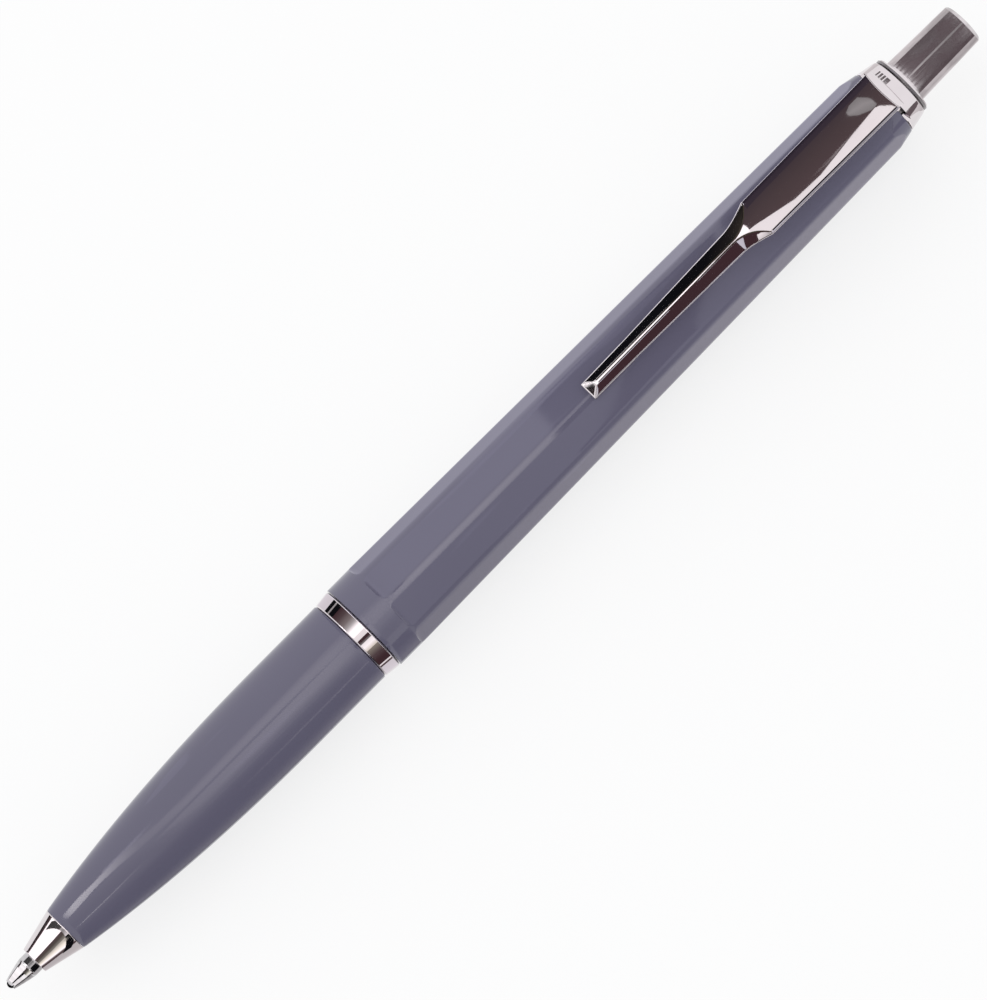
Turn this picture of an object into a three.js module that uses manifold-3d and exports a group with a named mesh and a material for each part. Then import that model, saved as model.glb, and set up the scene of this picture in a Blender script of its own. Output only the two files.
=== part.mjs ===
// A pushbutton ballpoint pen with a round lower barrel, a tapered eight-sided upper barrel,
// a pressed pocket clip and a turning-cam mechanism. It lies on one flat, tip out, ready to write.
// Millimetres, +Z up. The pen's axis lies along +X, from the ball to the button.
// Inside the pen group the axis is +Y, and every station is a distance from the front of the ball.
import * as THREE from "three";
import { mergeVertices } from "three/addons/utils/BufferGeometryUtils.js";
import Module from "manifold-3d";

const wasm = await Module();
wasm.setup();

// Driving dimensions, in millimetres and degrees.

// Fits
const runningClearance = 0.08; // radial, between a piece that moves and its guide
const fixedClearance = 0.07; // radial, between pieces that are fixed together
const seatGap = 0.1; // axial, between pieces that are clamped or rest on each other
const stopGap = 0.3; // axial, at a stop that a moving piece reaches

// Motion
const retractTravel = 5.5; // how far button and refill move back when the tip goes in
const overTravel = 1.0; // how far the button can be pushed past the latched place

// Refill
const ballRadius = 0.5;
const ballClearance = 0.05;
const pointLipRadius = 0.62;
const pointLipPlace = 0.26;
const pointConeLength = 2.5;
const noseRadius = 1.18;
const noseEnd = 10.0;
const inkChannelRadius = 0.35;
const pointShankLength = 4.0;
const neckRadius = 1.55;
const neckWall = 0.4;
const neckLength = 11.4;
const shoulderLength = 1.5;
const refillRadius = 2.95;
const refillWall = 0.2;
const refillLength = 98.1;
const plugHeadLength = 4.5;
const plugShankLength = 4.5;
const plugBore = 1.6;
const plugVent = 0.6;
const plugNotches = 6;
const plugNotchDepth = 1.1;
const plugNotchAngle = 24;
const inkEmptyLength = 12;

// Return spring
const springWire = 0.4;
const springInnerGap = 0.25; // between the coil and the refill's neck
const springTurns = 9;
const springStepsPerTurn = 8;
const springSides = 5;

// Nose cone
const tipReach = 3.67; // how far the refill stands out of the cone
const coneLength = 4.37;
const coneMouthWall = 0.29;
const coneSpigotRadius = 2.1;
const coneSpigotLength = 3.5;

// Lower barrel
const lowerBarrelLength = 40.26;
const lowerFrontRadius = 2.6;
const lowerRadius = 4.93;
const lowerCurveLength = 31.4;
const lowerCurveShoulder = 13.5;
const springRoom = 0.25; // round the coil
const refillRoom = 0.2; // round the refill's body
const spigotLength = 9.0;
const spigotChamfer = 0.4;

// Centre ring
const ringLength = 2.0;
const ringFrontProud = 0.02; // beyond the lower barrel
const ringRearSetBack = 0.07; // within the collar
const ringBevel = 0.14;

// Upper barrel
const collarLength = 2.9;
const collarRadius = 5.2;
const collarEdge = 0.08;
const mouthWall = 1.11;
const flatsFrontApothem = 4.945;
const flatsTaper = 0.64; // degrees, between a flat and the axis
const flatsCornerRadius = 1.7;
const runOutLength = 0.6;
const sides = 8;
const barrelEndLength = 2.0; // length of the coned end
const barrelEndWall = 0.9;

// Cam mechanism
const camSlots = 4;
const slotAngle = 31;
const ribAngle = 27;
const ribRadius = 2.8;
const slotDepthClearance = 0.1;
const camCoreRadius = 2.2;
const toothHeight = 0.7;
const toothGap = 0.3; // between the rotor's teeth and the teeth above them
const stepAngle = 0.8; // how far a tooth's steep side leans
const toothRoot = 0.4; // solid rim behind the teeth
const ribRoot = 0.3; // how deep a rib is set in its core
const stemChamfer = 0.3;
const rotorTailLength = 1.8;
const rotorSetBack = 0.1; // of the rotor's body within the plunger's
const rotorRibLength = 2.6;
const rotorStemRadius = 1.15;
const rotorStemLength = 4.4;
const sleeveWall = 0.35;
const sleeveSkirt = 3.2;
const sleeveTop = 3.0;
const plungerRibLength = 11.1;
const plungerStemRadius = 1.92;
const plungerStemLength = 13.0;
const plungerBlindEnd = 2.5;

// Bush, crown and button
const bushShankLength = 6.1;
const bushWall = 0.34;
const flangeWidth = 0.41;
const flangeThickness = 0.42;
const flangeEdge = 0.12;
const crownLength = 2.2;
const crownSetBack = 0.02; // within the barrel's end
const crownTopProud = 0.04; // beyond the bush's flange
const crownRound = 0.17;
const crownRoundLength = 0.5;
const crownNotchWidth = 6.6; // round the clip
const crownNotchLength = 0.4;
const crownNotchFloor = 1.9; // from the axis
const buttonWall = 0.59; // at the base, outside the plunger's stem
const buttonTaper = 0.2;
const buttonReach = 8.68; // how far the button stands out of the bush
const buttonEndWall = 0.7;
const buttonEdgeRound = 0.4;

// Clip
const clipTurn = 5.5; // degrees from the nearest corner of the barrel
const sheet = 0.42;
const clipReach = 42.7; // from the rear wall to the foot's end
const clipPlateLength = 18.7;
const clipShoulderLength = 3.35;
const clipFootLength = 5.6;
const plateFrontWidth = 4.5;
const plateRearWidth = 4.8;
const neckWidth = 2.86;
const footFrontWidth = 2.0;
const footRearWidth = 2.16;
const plateRise = 3.25; // top of the plate above the crown
const footDepth = 0.95;
const footNose = 0.2; // how far the foot's end is turned down
const footNoseLength = 0.4;
const plateCrown = 0.16; // how far the plate's middle stands above its edges
const ridgeHeight = 0.62; // how far the arm's ridge stands above its edges
const ridgeWidth = 0.3;
const plateWallDepth = 1.0;
const armWallDepth = 0.32;
const footClearance = 0.1;
const footStep = 0.2; // length of the step behind the foot
const ridgeEndShare = 0.5; // of the plate's width, flat between its sloping sides
const tongueWidth = 2.8;
const tongueLegLength = 2.4;
const tonguePlace = 0.13; // from the crown's front end to the tongue
const tongueLegGap = 0.15;
const bendRadius = 0.75;
const bendOverlap = 0.6; // of the bent end with the plate
const bendSetBack = 0.02; // of the bent end within the plate's sides
const bendShoulder = 0.5; // from the bend to where the end narrows

// Facets
const roundSegments = 32; // four to each flat
const smallSegments = 24;

// Places along the axis that follow from the sizes above.
const coneStart = tipReach;
const coneEnd = coneStart + coneLength;
const lowerEnd = coneEnd + lowerBarrelLength;
const ringStart = lowerEnd + seatGap / 2;
const ringEnd = ringStart + ringLength - seatGap;
const upperStart = lowerEnd + ringLength;
const spigotEnd = lowerEnd + spigotLength;
const neckEnd = noseEnd + neckLength;
const bodyStart = neckEnd + shoulderLength;
const plugStart = refillLength - plugHeadLength;
const rotorStart = refillLength + seatGap;
const camTeethStart = refillLength + retractTravel + stopGap;
const rotorTeethStart = camTeethStart - toothGap - toothHeight;
const plungerRibEnd = camTeethStart + plungerRibLength;
const landEnd = plungerRibEnd - overTravel - 2 * stopGap;
const sleeveEnd = landEnd + sleeveTop;
const bushStart = plungerRibEnd + retractTravel + stopGap;
const flangeStart = bushStart + bushShankLength;
const flangeEnd = flangeStart + flangeThickness;
const crownEnd = flangeStart - seatGap;
const crownStart = crownEnd - crownLength;
const upperEnd = crownStart - seatGap;
const buttonStart = plungerRibEnd + seatGap;
const buttonEnd = flangeEnd + buttonReach;
const penLength = buttonEnd;

// Radii and angles that follow.
const coneBore = noseRadius + runningClearance;
const coneMouthRadius = coneBore + coneMouthWall;
const coneNarrowEnd = noseEnd - overTravel - stopGap;
const neckBore = neckRadius + runningClearance;
const springOuterRadius = neckRadius + springInnerGap + springWire;
const springChamberRadius = springOuterRadius + springRoom;
const refillBoreRadius = refillRadius + refillRoom;
const spigotBore = collarRadius - mouthWall;
const spigotRadius = spigotBore - fixedClearance;
const ringFrontRadius = lowerRadius + ringFrontProud;
const ringRearRadius = collarRadius - ringRearSetBack;
const slotRadius = ribRadius + slotDepthClearance;
const landRadius = camCoreRadius + runningClearance;
const skirtRadius = refillRadius + runningClearance;
const sleeveRadius = skirtRadius + sleeveWall;
const mechanismBore = sleeveRadius + fixedClearance;
const rotorTailRadius = plugBore - runningClearance;
const rotorBodyRadius = camCoreRadius - rotorSetBack;
const buttonBore = plungerStemRadius + fixedClearance;
const buttonBaseRadius = buttonBore + buttonWall;
const buttonEndRadius = buttonBaseRadius - buttonTaper;
const bushBore = buttonBaseRadius + runningClearance;
const bushRadius = bushBore + bushWall;
const bushSeatBore = bushRadius + fixedClearance;
const flangeRadius = bushRadius + flangeWidth;
const barrelEndRadius = bushSeatBore + barrelEndWall;
const crownBaseRadius = barrelEndRadius - crownSetBack;
const crownTopRadius = flangeRadius + crownTopProud;
const crownShoulderRadius = crownTopRadius + crownRound;
const slotPitch = 360 / camSlots;
const landAngle = slotPitch - slotAngle;
const sidePitch = 360 / sides;
const clipAngle = sidePitch / 2 - clipTurn;
const clipEnd = crownStart + tonguePlace + sheet;
const clipStart = clipEnd - clipReach;
const passageWidth = tongueWidth + 4 * fixedClearance; // for the clip's tongue
const tongueBottom = bushRadius + tongueLegGap;
const plateHeight = crownBaseRadius + plateRise;
const footHeight = barrelSurface(clipStart) + footClearance + footDepth;

function apothemAt(place) {
  const run = place - (upperStart + collarLength);
  return flatsFrontApothem - run * Math.tan(THREE.MathUtils.degToRad(flatsTaper));
}

// A geometry as a solid that can be joined or cut.
function solidOf(geometry) {
  const bare = geometry.clone();
  for (const name of ["normal", "uv"]) bare.deleteAttribute(name);
  const merged = mergeVertices(bare, 1e-4);
  return new wasm.Manifold(
    new wasm.Mesh({
      numProp: 3,
      vertProperties: merged.attributes.position.array,
      triVerts: new Uint32Array(merged.index.array),
    }),
  );
}

function geometryOf(solid) {
  const mesh = solid.getMesh();
  const geometry = new THREE.BufferGeometry();
  geometry.setAttribute("position", new THREE.BufferAttribute(mesh.vertProperties, 3));
  geometry.setIndex(new THREE.BufferAttribute(mesh.triVerts, 1));
  geometry.computeVertexNormals();
  return geometry;
}

function joined(first, ...others) {
  return others.reduce((sum, other) => sum.add(other), first);
}

function cut(first, ...others) {
  return others.reduce((rest, other) => rest.subtract(other), first);
}

// Turned from a profile of [radius, place] pairs, which runs up the outside.
// It starts half a facet round, so that a facet lies over each flat of the barrel.
function turned(profile, segments = roundSegments) {
  const points = profile.map(([radius, place]) => new THREE.Vector2(radius, place));
  return new THREE.LatheGeometry(points, segments, Math.PI / segments);
}

// A turned tube: the outside runs up, the bore runs back down to the start.
function turnedTube(outside, bore, segments = roundSegments) {
  return turned([...outside, ...bore, outside[0]], segments);
}

// The turned space between two places, used to cut a bore.
function turnedSpace(profile, segments = roundSegments) {
  const last = profile[profile.length - 1];
  return solidOf(turned([[0, profile[0][1]], ...profile, [0, last[1]]], segments));
}

// Points on an arc in a profile, from one angle to another, in degrees from the radial direction.
function arc(centreRadius, centrePlace, radius, from, to, steps) {
  return Array.from({ length: steps + 1 }, (_, i) => {
    const angle = THREE.MathUtils.degToRad(from + ((to - from) * i) / steps);
    return [centreRadius + radius * Math.cos(angle), centrePlace + radius * Math.sin(angle)];
  });
}

// A closed skin over loops of equal length, with both ends capped.
function loft(loops, flatten) {
  const count = loops[0].length;
  const positions = loops.flat().flatMap((p) => [p.x, p.y, p.z]);
  const index = [];
  for (let ring = 0; ring < loops.length - 1; ring++) {
    for (let i = 0; i < count; i++) {
      const a = ring * count + i;
      const b = ring * count + ((i + 1) % count);
      index.push(a, b, b + count, a, b + count, a + count);
    }
  }
  const capped = [
    [0, true],
    [loops.length - 1, false],
  ];
  for (const [ring, turnedRound] of capped) {
    const outline = loops[ring].map(flatten);
    for (const [a, b, c] of THREE.ShapeUtils.triangulateShape(outline, [])) {
      const face = turnedRound ? [a, c, b] : [a, b, c];
      index.push(...face.map((corner) => corner + ring * count));
    }
  }
  const geometry = new THREE.BufferGeometry();
  geometry.setAttribute("position", new THREE.Float32BufferAttribute(positions, 3));
  geometry.setIndex(index);
  return geometry;
}

// A block bent round the axis between two radii. Each station has an angle and its two end places.
function bentBlock(stations, inner, outer, closed = false) {
  const positions = stations.flatMap(({ angle, low, high }) => {
    const turn = THREE.MathUtils.degToRad(angle);
    const corners = [
      [inner, low],
      [outer, low],
      [outer, high],
      [inner, high],
    ];
    return corners.flatMap(([r, place]) => [r * Math.sin(turn), place, r * Math.cos(turn)]);
  });
  const index = [];
  const quad = (a, b, c, d) => index.push(a, b, c, a, c, d);
  const spans = closed ? stations.length : stations.length - 1;
  for (let i = 0; i < spans; i++) {
    const here = i * 4;
    const next = ((i + 1) % stations.length) * 4;
    for (let side = 0; side < 4; side++) {
      const other = (side + 1) % 4;
      quad(here + side, next + side, next + other, here + other);
    }
  }
  if (!closed) {
    const end = spans * 4;
    quad(0, 1, 2, 3);
    quad(end + 3, end + 2, end + 1, end);
  }
  const geometry = new THREE.BufferGeometry();
  geometry.setAttribute("position", new THREE.Float32BufferAttribute(positions, 3));
  geometry.setIndex(index);
  return solidOf(geometry);
}

// Evenly spaced values from one end to the other.
function spread(from, to, steps) {
  return Array.from({ length: steps + 1 }, (_, i) => from + ((to - from) * i) / steps);
}

// A block with plain ends, from one angle to another.
function plainBlock(middle, angle, inner, outer, low, high) {
  const angles = spread(middle - angle / 2, middle + angle / 2, 4);
  return bentBlock(angles.map((at) => ({ angle: at, low, high })), inner, outer);
}

// Refill

function writingBall() {
  const ball = new THREE.SphereGeometry(ballRadius, 16, 12);
  ball.translate(0, ballRadius, 0);
  return ball;
}

function refillPoint() {
  const socket = ballRadius + ballClearance;
  const lipAngle = THREE.MathUtils.radToDeg(Math.asin((pointLipPlace - ballRadius) / socket));
  const channelAngle = THREE.MathUtils.radToDeg(Math.acos(inkChannelRadius / socket));
  const bore = arc(0, ballRadius, socket, channelAngle, lipAngle, 5);
  const shankRadius = neckRadius - neckWall - fixedClearance;
  const outside = [
    [pointLipRadius, pointLipPlace],
    [noseRadius, pointLipPlace + pointConeLength],
    [noseRadius, noseEnd - seatGap],
    [shankRadius, noseEnd - seatGap],
    [shankRadius, noseEnd + pointShankLength],
    [inkChannelRadius, noseEnd + pointShankLength],
  ];
  return turnedTube(outside, bore, smallSegments);
}

function refillTube() {
  const outside = [
    [neckRadius, noseEnd],
    [neckRadius, neckEnd],
    [refillRadius, bodyStart],
    [refillRadius, plugStart - seatGap],
  ];
  const bore = [
    [refillRadius - refillWall, plugStart - seatGap],
    [refillRadius - refillWall, bodyStart + refillWall],
    [neckRadius - neckWall, neckEnd + refillWall],
    [neckRadius - neckWall, noseEnd],
  ];
  return turnedTube(outside, bore);
}

function inkColumn() {
  const neck = neckRadius - neckWall - fixedClearance;
  const body = refillRadius - refillWall - fixedClearance;
  const start = noseEnd + pointShankLength + seatGap;
  const end = plugStart - plugShankLength - inkEmptyLength;
  const profile = [
    [0, start],
    [neck, start],
    [neck, neckEnd + refillWall],
    [body, bodyStart + 2 * refillWall],
    [body, end],
    [0, end],
  ];
  return turned(profile);
}

function refillPlug() {
  const shank = refillRadius - refillWall - fixedClearance;
  const outside = [
    [shank, plugStart - plugShankLength],
    [shank, plugStart],
    [refillRadius, plugStart],
    [refillRadius, refillLength],
  ];
  const pocket = refillLength - rotorTailLength - seatGap;
  const bore = [
    [plugBore, refillLength],
    [plugBore, pocket],
    [plugVent, pocket],
    [plugVent, plugStart - plugShankLength],
  ];
  const body = solidOf(turnedTube(outside, bore));
  const notches = Array.from({ length: plugNotches }, (_, i) =>
    plainBlock(
      (360 * i) / plugNotches,
      plugNotchAngle,
      plugBore - runningClearance,
      refillRadius + runningClearance,
      refillLength - plugNotchDepth,
      refillLength + stopGap,
    ),
  );
  return geometryOf(cut(body, ...notches));
}

// A helix between the nose cone's spigot and the refill's shoulder.
function springCentreline() {
  const radius = springOuterRadius - springWire / 2;
  const first = coneEnd + coneSpigotLength + seatGap + springWire / 2;
  const last = neckEnd - seatGap - springWire / 2;
  const steps = springTurns * springStepsPerTurn;
  return Array.from({ length: steps + 1 }, (_, i) => {
    const turn = (2 * Math.PI * i) / springStepsPerTurn;
    const place = first + ((last - first) * i) / steps;
    return new THREE.Vector3(radius * Math.sin(turn), place, radius * Math.cos(turn));
  });
}

function returnSpring() {
  const line = springCentreline();
  const along = new THREE.Vector3(0, 1, 0);
  const loops = line.map((point) => {
    const outward = new THREE.Vector3(point.x, 0, point.z).normalize();
    return Array.from({ length: springSides }, (_, i) => {
      const angle = (2 * Math.PI * i) / springSides;
      return point
        .clone()
        .addScaledVector(outward, (springWire / 2) * Math.cos(angle))
        .addScaledVector(along, (-springWire / 2) * Math.sin(angle));
    });
  });
  return loft(loops, (p) => new THREE.Vector2(Math.hypot(p.x, p.z), -p.y));
}

// The least gap between points of the wire that lie more than half a turn apart.
function springSelfGap() {
  const line = springCentreline();
  let least = Infinity;
  for (let i = 0; i < line.length; i++) {
    for (let j = i + springStepsPerTurn / 2 + 1; j < line.length; j++) {
      least = Math.min(least, line[i].distanceTo(line[j]));
    }
  }
  return least - springWire;
}

// Front pieces

function noseCone() {
  const spigotEndPlace = coneEnd + coneSpigotLength;
  const outside = [
    [coneMouthRadius, coneStart],
    [lowerFrontRadius, coneEnd - seatGap],
    [coneSpigotRadius, coneEnd - seatGap],
    [coneSpigotRadius, spigotEndPlace],
  ];
  const bore = [
    [neckBore, spigotEndPlace],
    [neckBore, coneNarrowEnd],
    [coneBore, coneNarrowEnd],
    [coneBore, coneStart],
  ];
  return turnedTube(outside, bore);
}

function lowerBarrel() {
  const swell = new THREE.QuadraticBezierCurve(
    new THREE.Vector2(lowerFrontRadius, coneEnd),
    new THREE.Vector2(lowerRadius, coneEnd + lowerCurveShoulder),
    new THREE.Vector2(lowerRadius, coneEnd + lowerCurveLength),
  );
  const outside = [
    ...swell.getPoints(12).map((p) => [p.x, p.y]),
    [lowerRadius, lowerEnd],
    [spigotRadius, lowerEnd],
    [spigotRadius, spigotEnd - spigotChamfer],
    [spigotRadius - spigotChamfer, spigotEnd],
  ];
  const chamberEnd = neckEnd - overTravel - stopGap;
  const bore = [
    [refillBoreRadius, spigotEnd],
    [refillBoreRadius, chamberEnd + refillBoreRadius - springChamberRadius],
    [springChamberRadius, chamberEnd],
    [springChamberRadius, coneEnd + coneSpigotLength + seatGap],
    [coneSpigotRadius + fixedClearance, coneEnd + coneSpigotLength + seatGap],
    [coneSpigotRadius + fixedClearance, coneEnd],
  ];
  return turnedTube(outside, bore);
}

function centreRing() {
  const outside = [
    [ringFrontRadius - ringBevel, ringStart],
    [ringFrontRadius, ringStart + ringBevel],
    [ringRearRadius, ringEnd - ringBevel],
    [ringRearRadius - ringBevel, ringEnd],
  ];
  const bore = [
    [spigotBore, ringEnd],
    [spigotBore, ringStart],
  ];
  return turnedTube(outside, bore);
}

// Upper barrel

// Eight flats at one distance from the axis, with rounded corners.
function roundedOctagon(apothem, place) {
  const half = THREE.MathUtils.degToRad(sidePitch / 2);
  const centre = (apothem - flatsCornerRadius) / Math.cos(half);
  const loop = [];
  for (let corner = 0; corner < sides; corner++) {
    const middle = THREE.MathUtils.degToRad(sidePitch * (corner + 0.5));
    for (const turn of spread(-half, half, 4)) {
      const angle = middle + turn;
      loop.push(
        new THREE.Vector3(
          centre * Math.sin(middle) + flatsCornerRadius * Math.sin(angle),
          place,
          centre * Math.cos(middle) + flatsCornerRadius * Math.cos(angle),
        ),
      );
    }
  }
  return loop;
}

// The flats taper to the rear, and run out in a curve at the round collar.
function flatsSolid() {
  const flatsStart = upperStart + collarLength;
  const rise = collarRadius - flatsFrontApothem + collarEdge;
  const runOut = spread(1, 0, 5).map((share) => {
    const place = flatsStart + runOutLength * (1 - share);
    return roundedOctagon(apothemAt(place) + rise * share * share, place);
  });
  const loops = [
    roundedOctagon(collarRadius + 2 * collarEdge, upperStart - seatGap),
    ...runOut,
    roundedOctagon(apothemAt(upperEnd + seatGap), upperEnd + seatGap),
  ];
  return solidOf(loft(loops, (p) => new THREE.Vector2(p.z, p.x)));
}

function clipNotch(width, low, high, inner, outer) {
  const notch = new THREE.BoxGeometry(width, high - low, outer - inner);
  notch.translate(0, (low + high) / 2, (inner + outer) / 2);
  notch.rotateY(THREE.MathUtils.degToRad(clipAngle));
  return solidOf(notch);
}

function upperBarrel() {
  const coneStartRadius = (apothemAt(upperEnd - barrelEndLength) - flatsCornerRadius)
    / Math.cos(THREE.MathUtils.degToRad(sidePitch / 2)) + flatsCornerRadius;
  const round = turnedSpace([
    [collarRadius - collarEdge, upperStart],
    [collarRadius, upperStart + collarEdge],
    [collarRadius, upperEnd - barrelEndLength - seatGap],
    [coneStartRadius, upperEnd - barrelEndLength],
    [barrelEndRadius, upperEnd],
  ]);
  const bores = turnedSpace([
    [spigotBore, upperStart - seatGap],
    [spigotBore, spigotEnd + stopGap],
    [mechanismBore, spigotEnd + stopGap],
    [mechanismBore, sleeveEnd + seatGap],
    [bushSeatBore, sleeveEnd + seatGap],
    [bushSeatBore, upperEnd + seatGap],
  ]);
  const notch = clipNotch(
    passageWidth,
    clipEnd - sheet - tongueLegLength - stopGap,
    upperEnd + seatGap,
    bushRadius - fixedClearance,
    collarRadius,
  );
  return geometryOf(cut(flatsSolid().intersect(round), bores, notch));
}

// Cam mechanism

// The saw-tooth edge under one land: two ramps, each with a steep side.
function landStations(middle) {
  const first = middle - landAngle / 2;
  const last = middle + landAngle / 2;
  const ramp = (from, to) =>
    spread(from, to, 3).map((angle, i) => ({
      angle,
      low: camTeethStart + (toothHeight * i) / 3,
      high: landEnd,
    }));
  return [...ramp(first, middle), ...ramp(middle + stepAngle, last)];
}

function camSleeve() {
  const start = camTeethStart - sleeveSkirt;
  const outside = [
    [sleeveRadius, start],
    [sleeveRadius, sleeveEnd],
  ];
  const bore = [
    [slotRadius, sleeveEnd],
    [slotRadius, camTeethStart],
    [skirtRadius, camTeethStart - toothGap / 2],
    [skirtRadius, start],
  ];
  const tube = solidOf(turnedTube(outside, bore));
  const lands = Array.from({ length: camSlots }, (_, i) =>
    bentBlock(landStations(slotPitch * (i + 0.5)), landRadius, slotRadius + sleeveWall / 2),
  );
  return geometryOf(joined(tube, ...lands));
}

// A toothed rim: each tooth has its stations as [share of the pitch, share of the height].
function toothedRim(count, shape, inner, outer, teethStart, end, up) {
  const pitch = 360 / count;
  const stations = [];
  for (let tooth = 0; tooth < count; tooth++) {
    for (const [share, rise] of shape) {
      const angle = pitch * (tooth - 0.5 + share);
      const tip = teethStart + rise * toothHeight;
      stations.push(up ? { angle, low: end, high: tip } : { angle, low: tip, high: end });
    }
  }
  return bentBlock(stations, inner, outer, true);
}

function rotorCam() {
  const step = stepAngle / (slotPitch / 2);
  const sawTooth = [
    [0, 0],
    [0.33, 0.33],
    [0.67, 0.67],
    [1 - step, 1],
  ];
  const core = solidOf(
    turned([
      [0, rotorStart - rotorTailLength],
      [rotorTailRadius, rotorStart - rotorTailLength],
      [rotorTailRadius, rotorStart],
      [rotorBodyRadius, rotorStart],
      [rotorBodyRadius, rotorTeethStart],
      [rotorStemRadius, rotorTeethStart],
      [rotorStemRadius, rotorTeethStart + rotorStemLength - stemChamfer],
      [rotorStemRadius - stemChamfer, rotorTeethStart + rotorStemLength],
      [0, rotorTeethStart + rotorStemLength],
    ]),
  );
  const rim = toothedRim(
    2 * camSlots,
    sawTooth,
    rotorStemRadius - fixedClearance,
    rotorBodyRadius,
    rotorTeethStart,
    rotorTeethStart - toothRoot,
    true,
  );
  const ribs = Array.from({ length: camSlots }, (_, i) => {
    const middle = slotPitch * i;
    const stations = spread(-ribAngle / 2, ribAngle / 2, 4).map((offset) => ({
      angle: middle + offset,
      low: rotorTeethStart + toothHeight - rotorRibLength,
      high: rotorTeethStart + toothHeight * (0.5 + offset / (slotPitch / 2)),
    }));
    return bentBlock(stations, rotorBodyRadius - ribRoot, ribRadius);
  });
  return geometryOf(joined(core, rim, ...ribs));
}

function plunger() {
  const vTooth = [
    [0, 1],
    [0.25, 0.5],
    [0.5, 0],
    [0.75, 0.5],
  ];
  const rimEnd = camTeethStart + toothHeight + toothRoot;
  const coreStart = rimEnd - toothRoot / 2;
  const boreRadius = rotorStemRadius + runningClearance;
  const boreEnd = rotorTeethStart + rotorStemLength + plungerBlindEnd;
  const outside = [
    [camCoreRadius, coreStart],
    [camCoreRadius, plungerRibEnd],
    [plungerStemRadius, plungerRibEnd],
    [plungerStemRadius, plungerRibEnd + plungerStemLength - stemChamfer],
    [plungerStemRadius - stemChamfer, plungerRibEnd + plungerStemLength],
    [0, plungerRibEnd + plungerStemLength],
  ];
  const bore = [
    [0, boreEnd],
    [boreRadius, boreEnd],
    [boreRadius, coreStart],
  ];
  const body = solidOf(turned([...outside, ...bore, outside[0]]));
  const rim = toothedRim(
    2 * camSlots,
    vTooth,
    boreRadius,
    camCoreRadius,
    camTeethStart,
    rimEnd,
    false,
  );
  const ribs = Array.from({ length: camSlots }, (_, i) =>
    plainBlock(
      slotPitch * i,
      ribAngle,
      camCoreRadius - ribRoot,
      ribRadius,
      camTeethStart + toothHeight,
      plungerRibEnd,
    ),
  );
  return geometryOf(joined(body, rim, ...ribs));
}

// Rear pieces

function mechanismBush() {
  const outside = [
    [bushRadius, bushStart],
    [bushRadius, flangeStart],
    [flangeRadius, flangeStart],
    [flangeRadius, flangeEnd - flangeEdge],
    [flangeRadius - flangeEdge, flangeEnd],
  ];
  const bore = [
    [bushBore, flangeEnd],
    [bushBore, bushStart],
  ];
  return turnedTube(outside, bore);
}

function crown() {
  const roundStart = crownEnd - crownRoundLength;
  const outside = [
    [crownBaseRadius, crownStart],
    [crownShoulderRadius, roundStart],
    [crownShoulderRadius - crownRound / 3, crownEnd - crownRoundLength / 2],
    [crownTopRadius, crownEnd],
  ];
  const bore = [
    [bushSeatBore, crownEnd],
    [bushSeatBore, crownStart],
  ];
  const ring = solidOf(turnedTube(outside, bore));
  const outer = crownBaseRadius + sheet;
  const passage = clipNotch(
    passageWidth,
    crownStart - seatGap,
    clipEnd + 2 * fixedClearance,
    bushRadius,
    outer,
  );
  const notch = clipNotch(
    crownNotchWidth,
    crownStart - seatGap,
    crownStart + crownNotchLength,
    crownNotchFloor,
    outer,
  );
  return geometryOf(cut(ring, passage, notch));
}

function pushButton() {
  const outside = [
    [buttonBaseRadius, buttonStart],
    [buttonBaseRadius, flangeEnd],
    ...arc(
      buttonEndRadius - buttonEdgeRound,
      buttonEnd - buttonEdgeRound,
      buttonEdgeRound,
      0,
      90,
      4,
    ),
    [0, buttonEnd],
  ];
  const bore = [
    [0, buttonEnd - buttonEndWall],
    [buttonBore, buttonEnd - buttonEndWall],
    [buttonBore, buttonStart],
  ];
  return turned([...outside, ...bore, outside[0]]);
}

// Clip, made in its own frame: x across, y along the pen, z away from the axis.

// One section of the bent sheet: walls, sloping sides and a narrow top.
function clipSection(place, width, top, slope, topWidth, wallBottom) {
  const half = width / 2;
  const flat = topWidth / 2;
  const edge = top - slope;
  const innerHalf = half - sheet;
  const innerFlat = flat * (innerHalf / half);
  const innerEdge = top - sheet - (slope * (innerHalf - flat)) / (half - flat);
  const outer = [
    [-half, wallBottom],
    [-half, edge],
    [-flat, top],
    [flat, top],
    [half, edge],
    [half, wallBottom],
  ];
  const inner = [
    [innerHalf, wallBottom],
    [innerHalf, innerEdge],
    [innerFlat, top - sheet],
    [-innerFlat, top - sheet],
    [-innerHalf, innerEdge],
    [-innerHalf, wallBottom],
  ];
  return [...outer, ...inner].map(([x, z]) => new THREE.Vector3(x, place, z));
}

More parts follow.
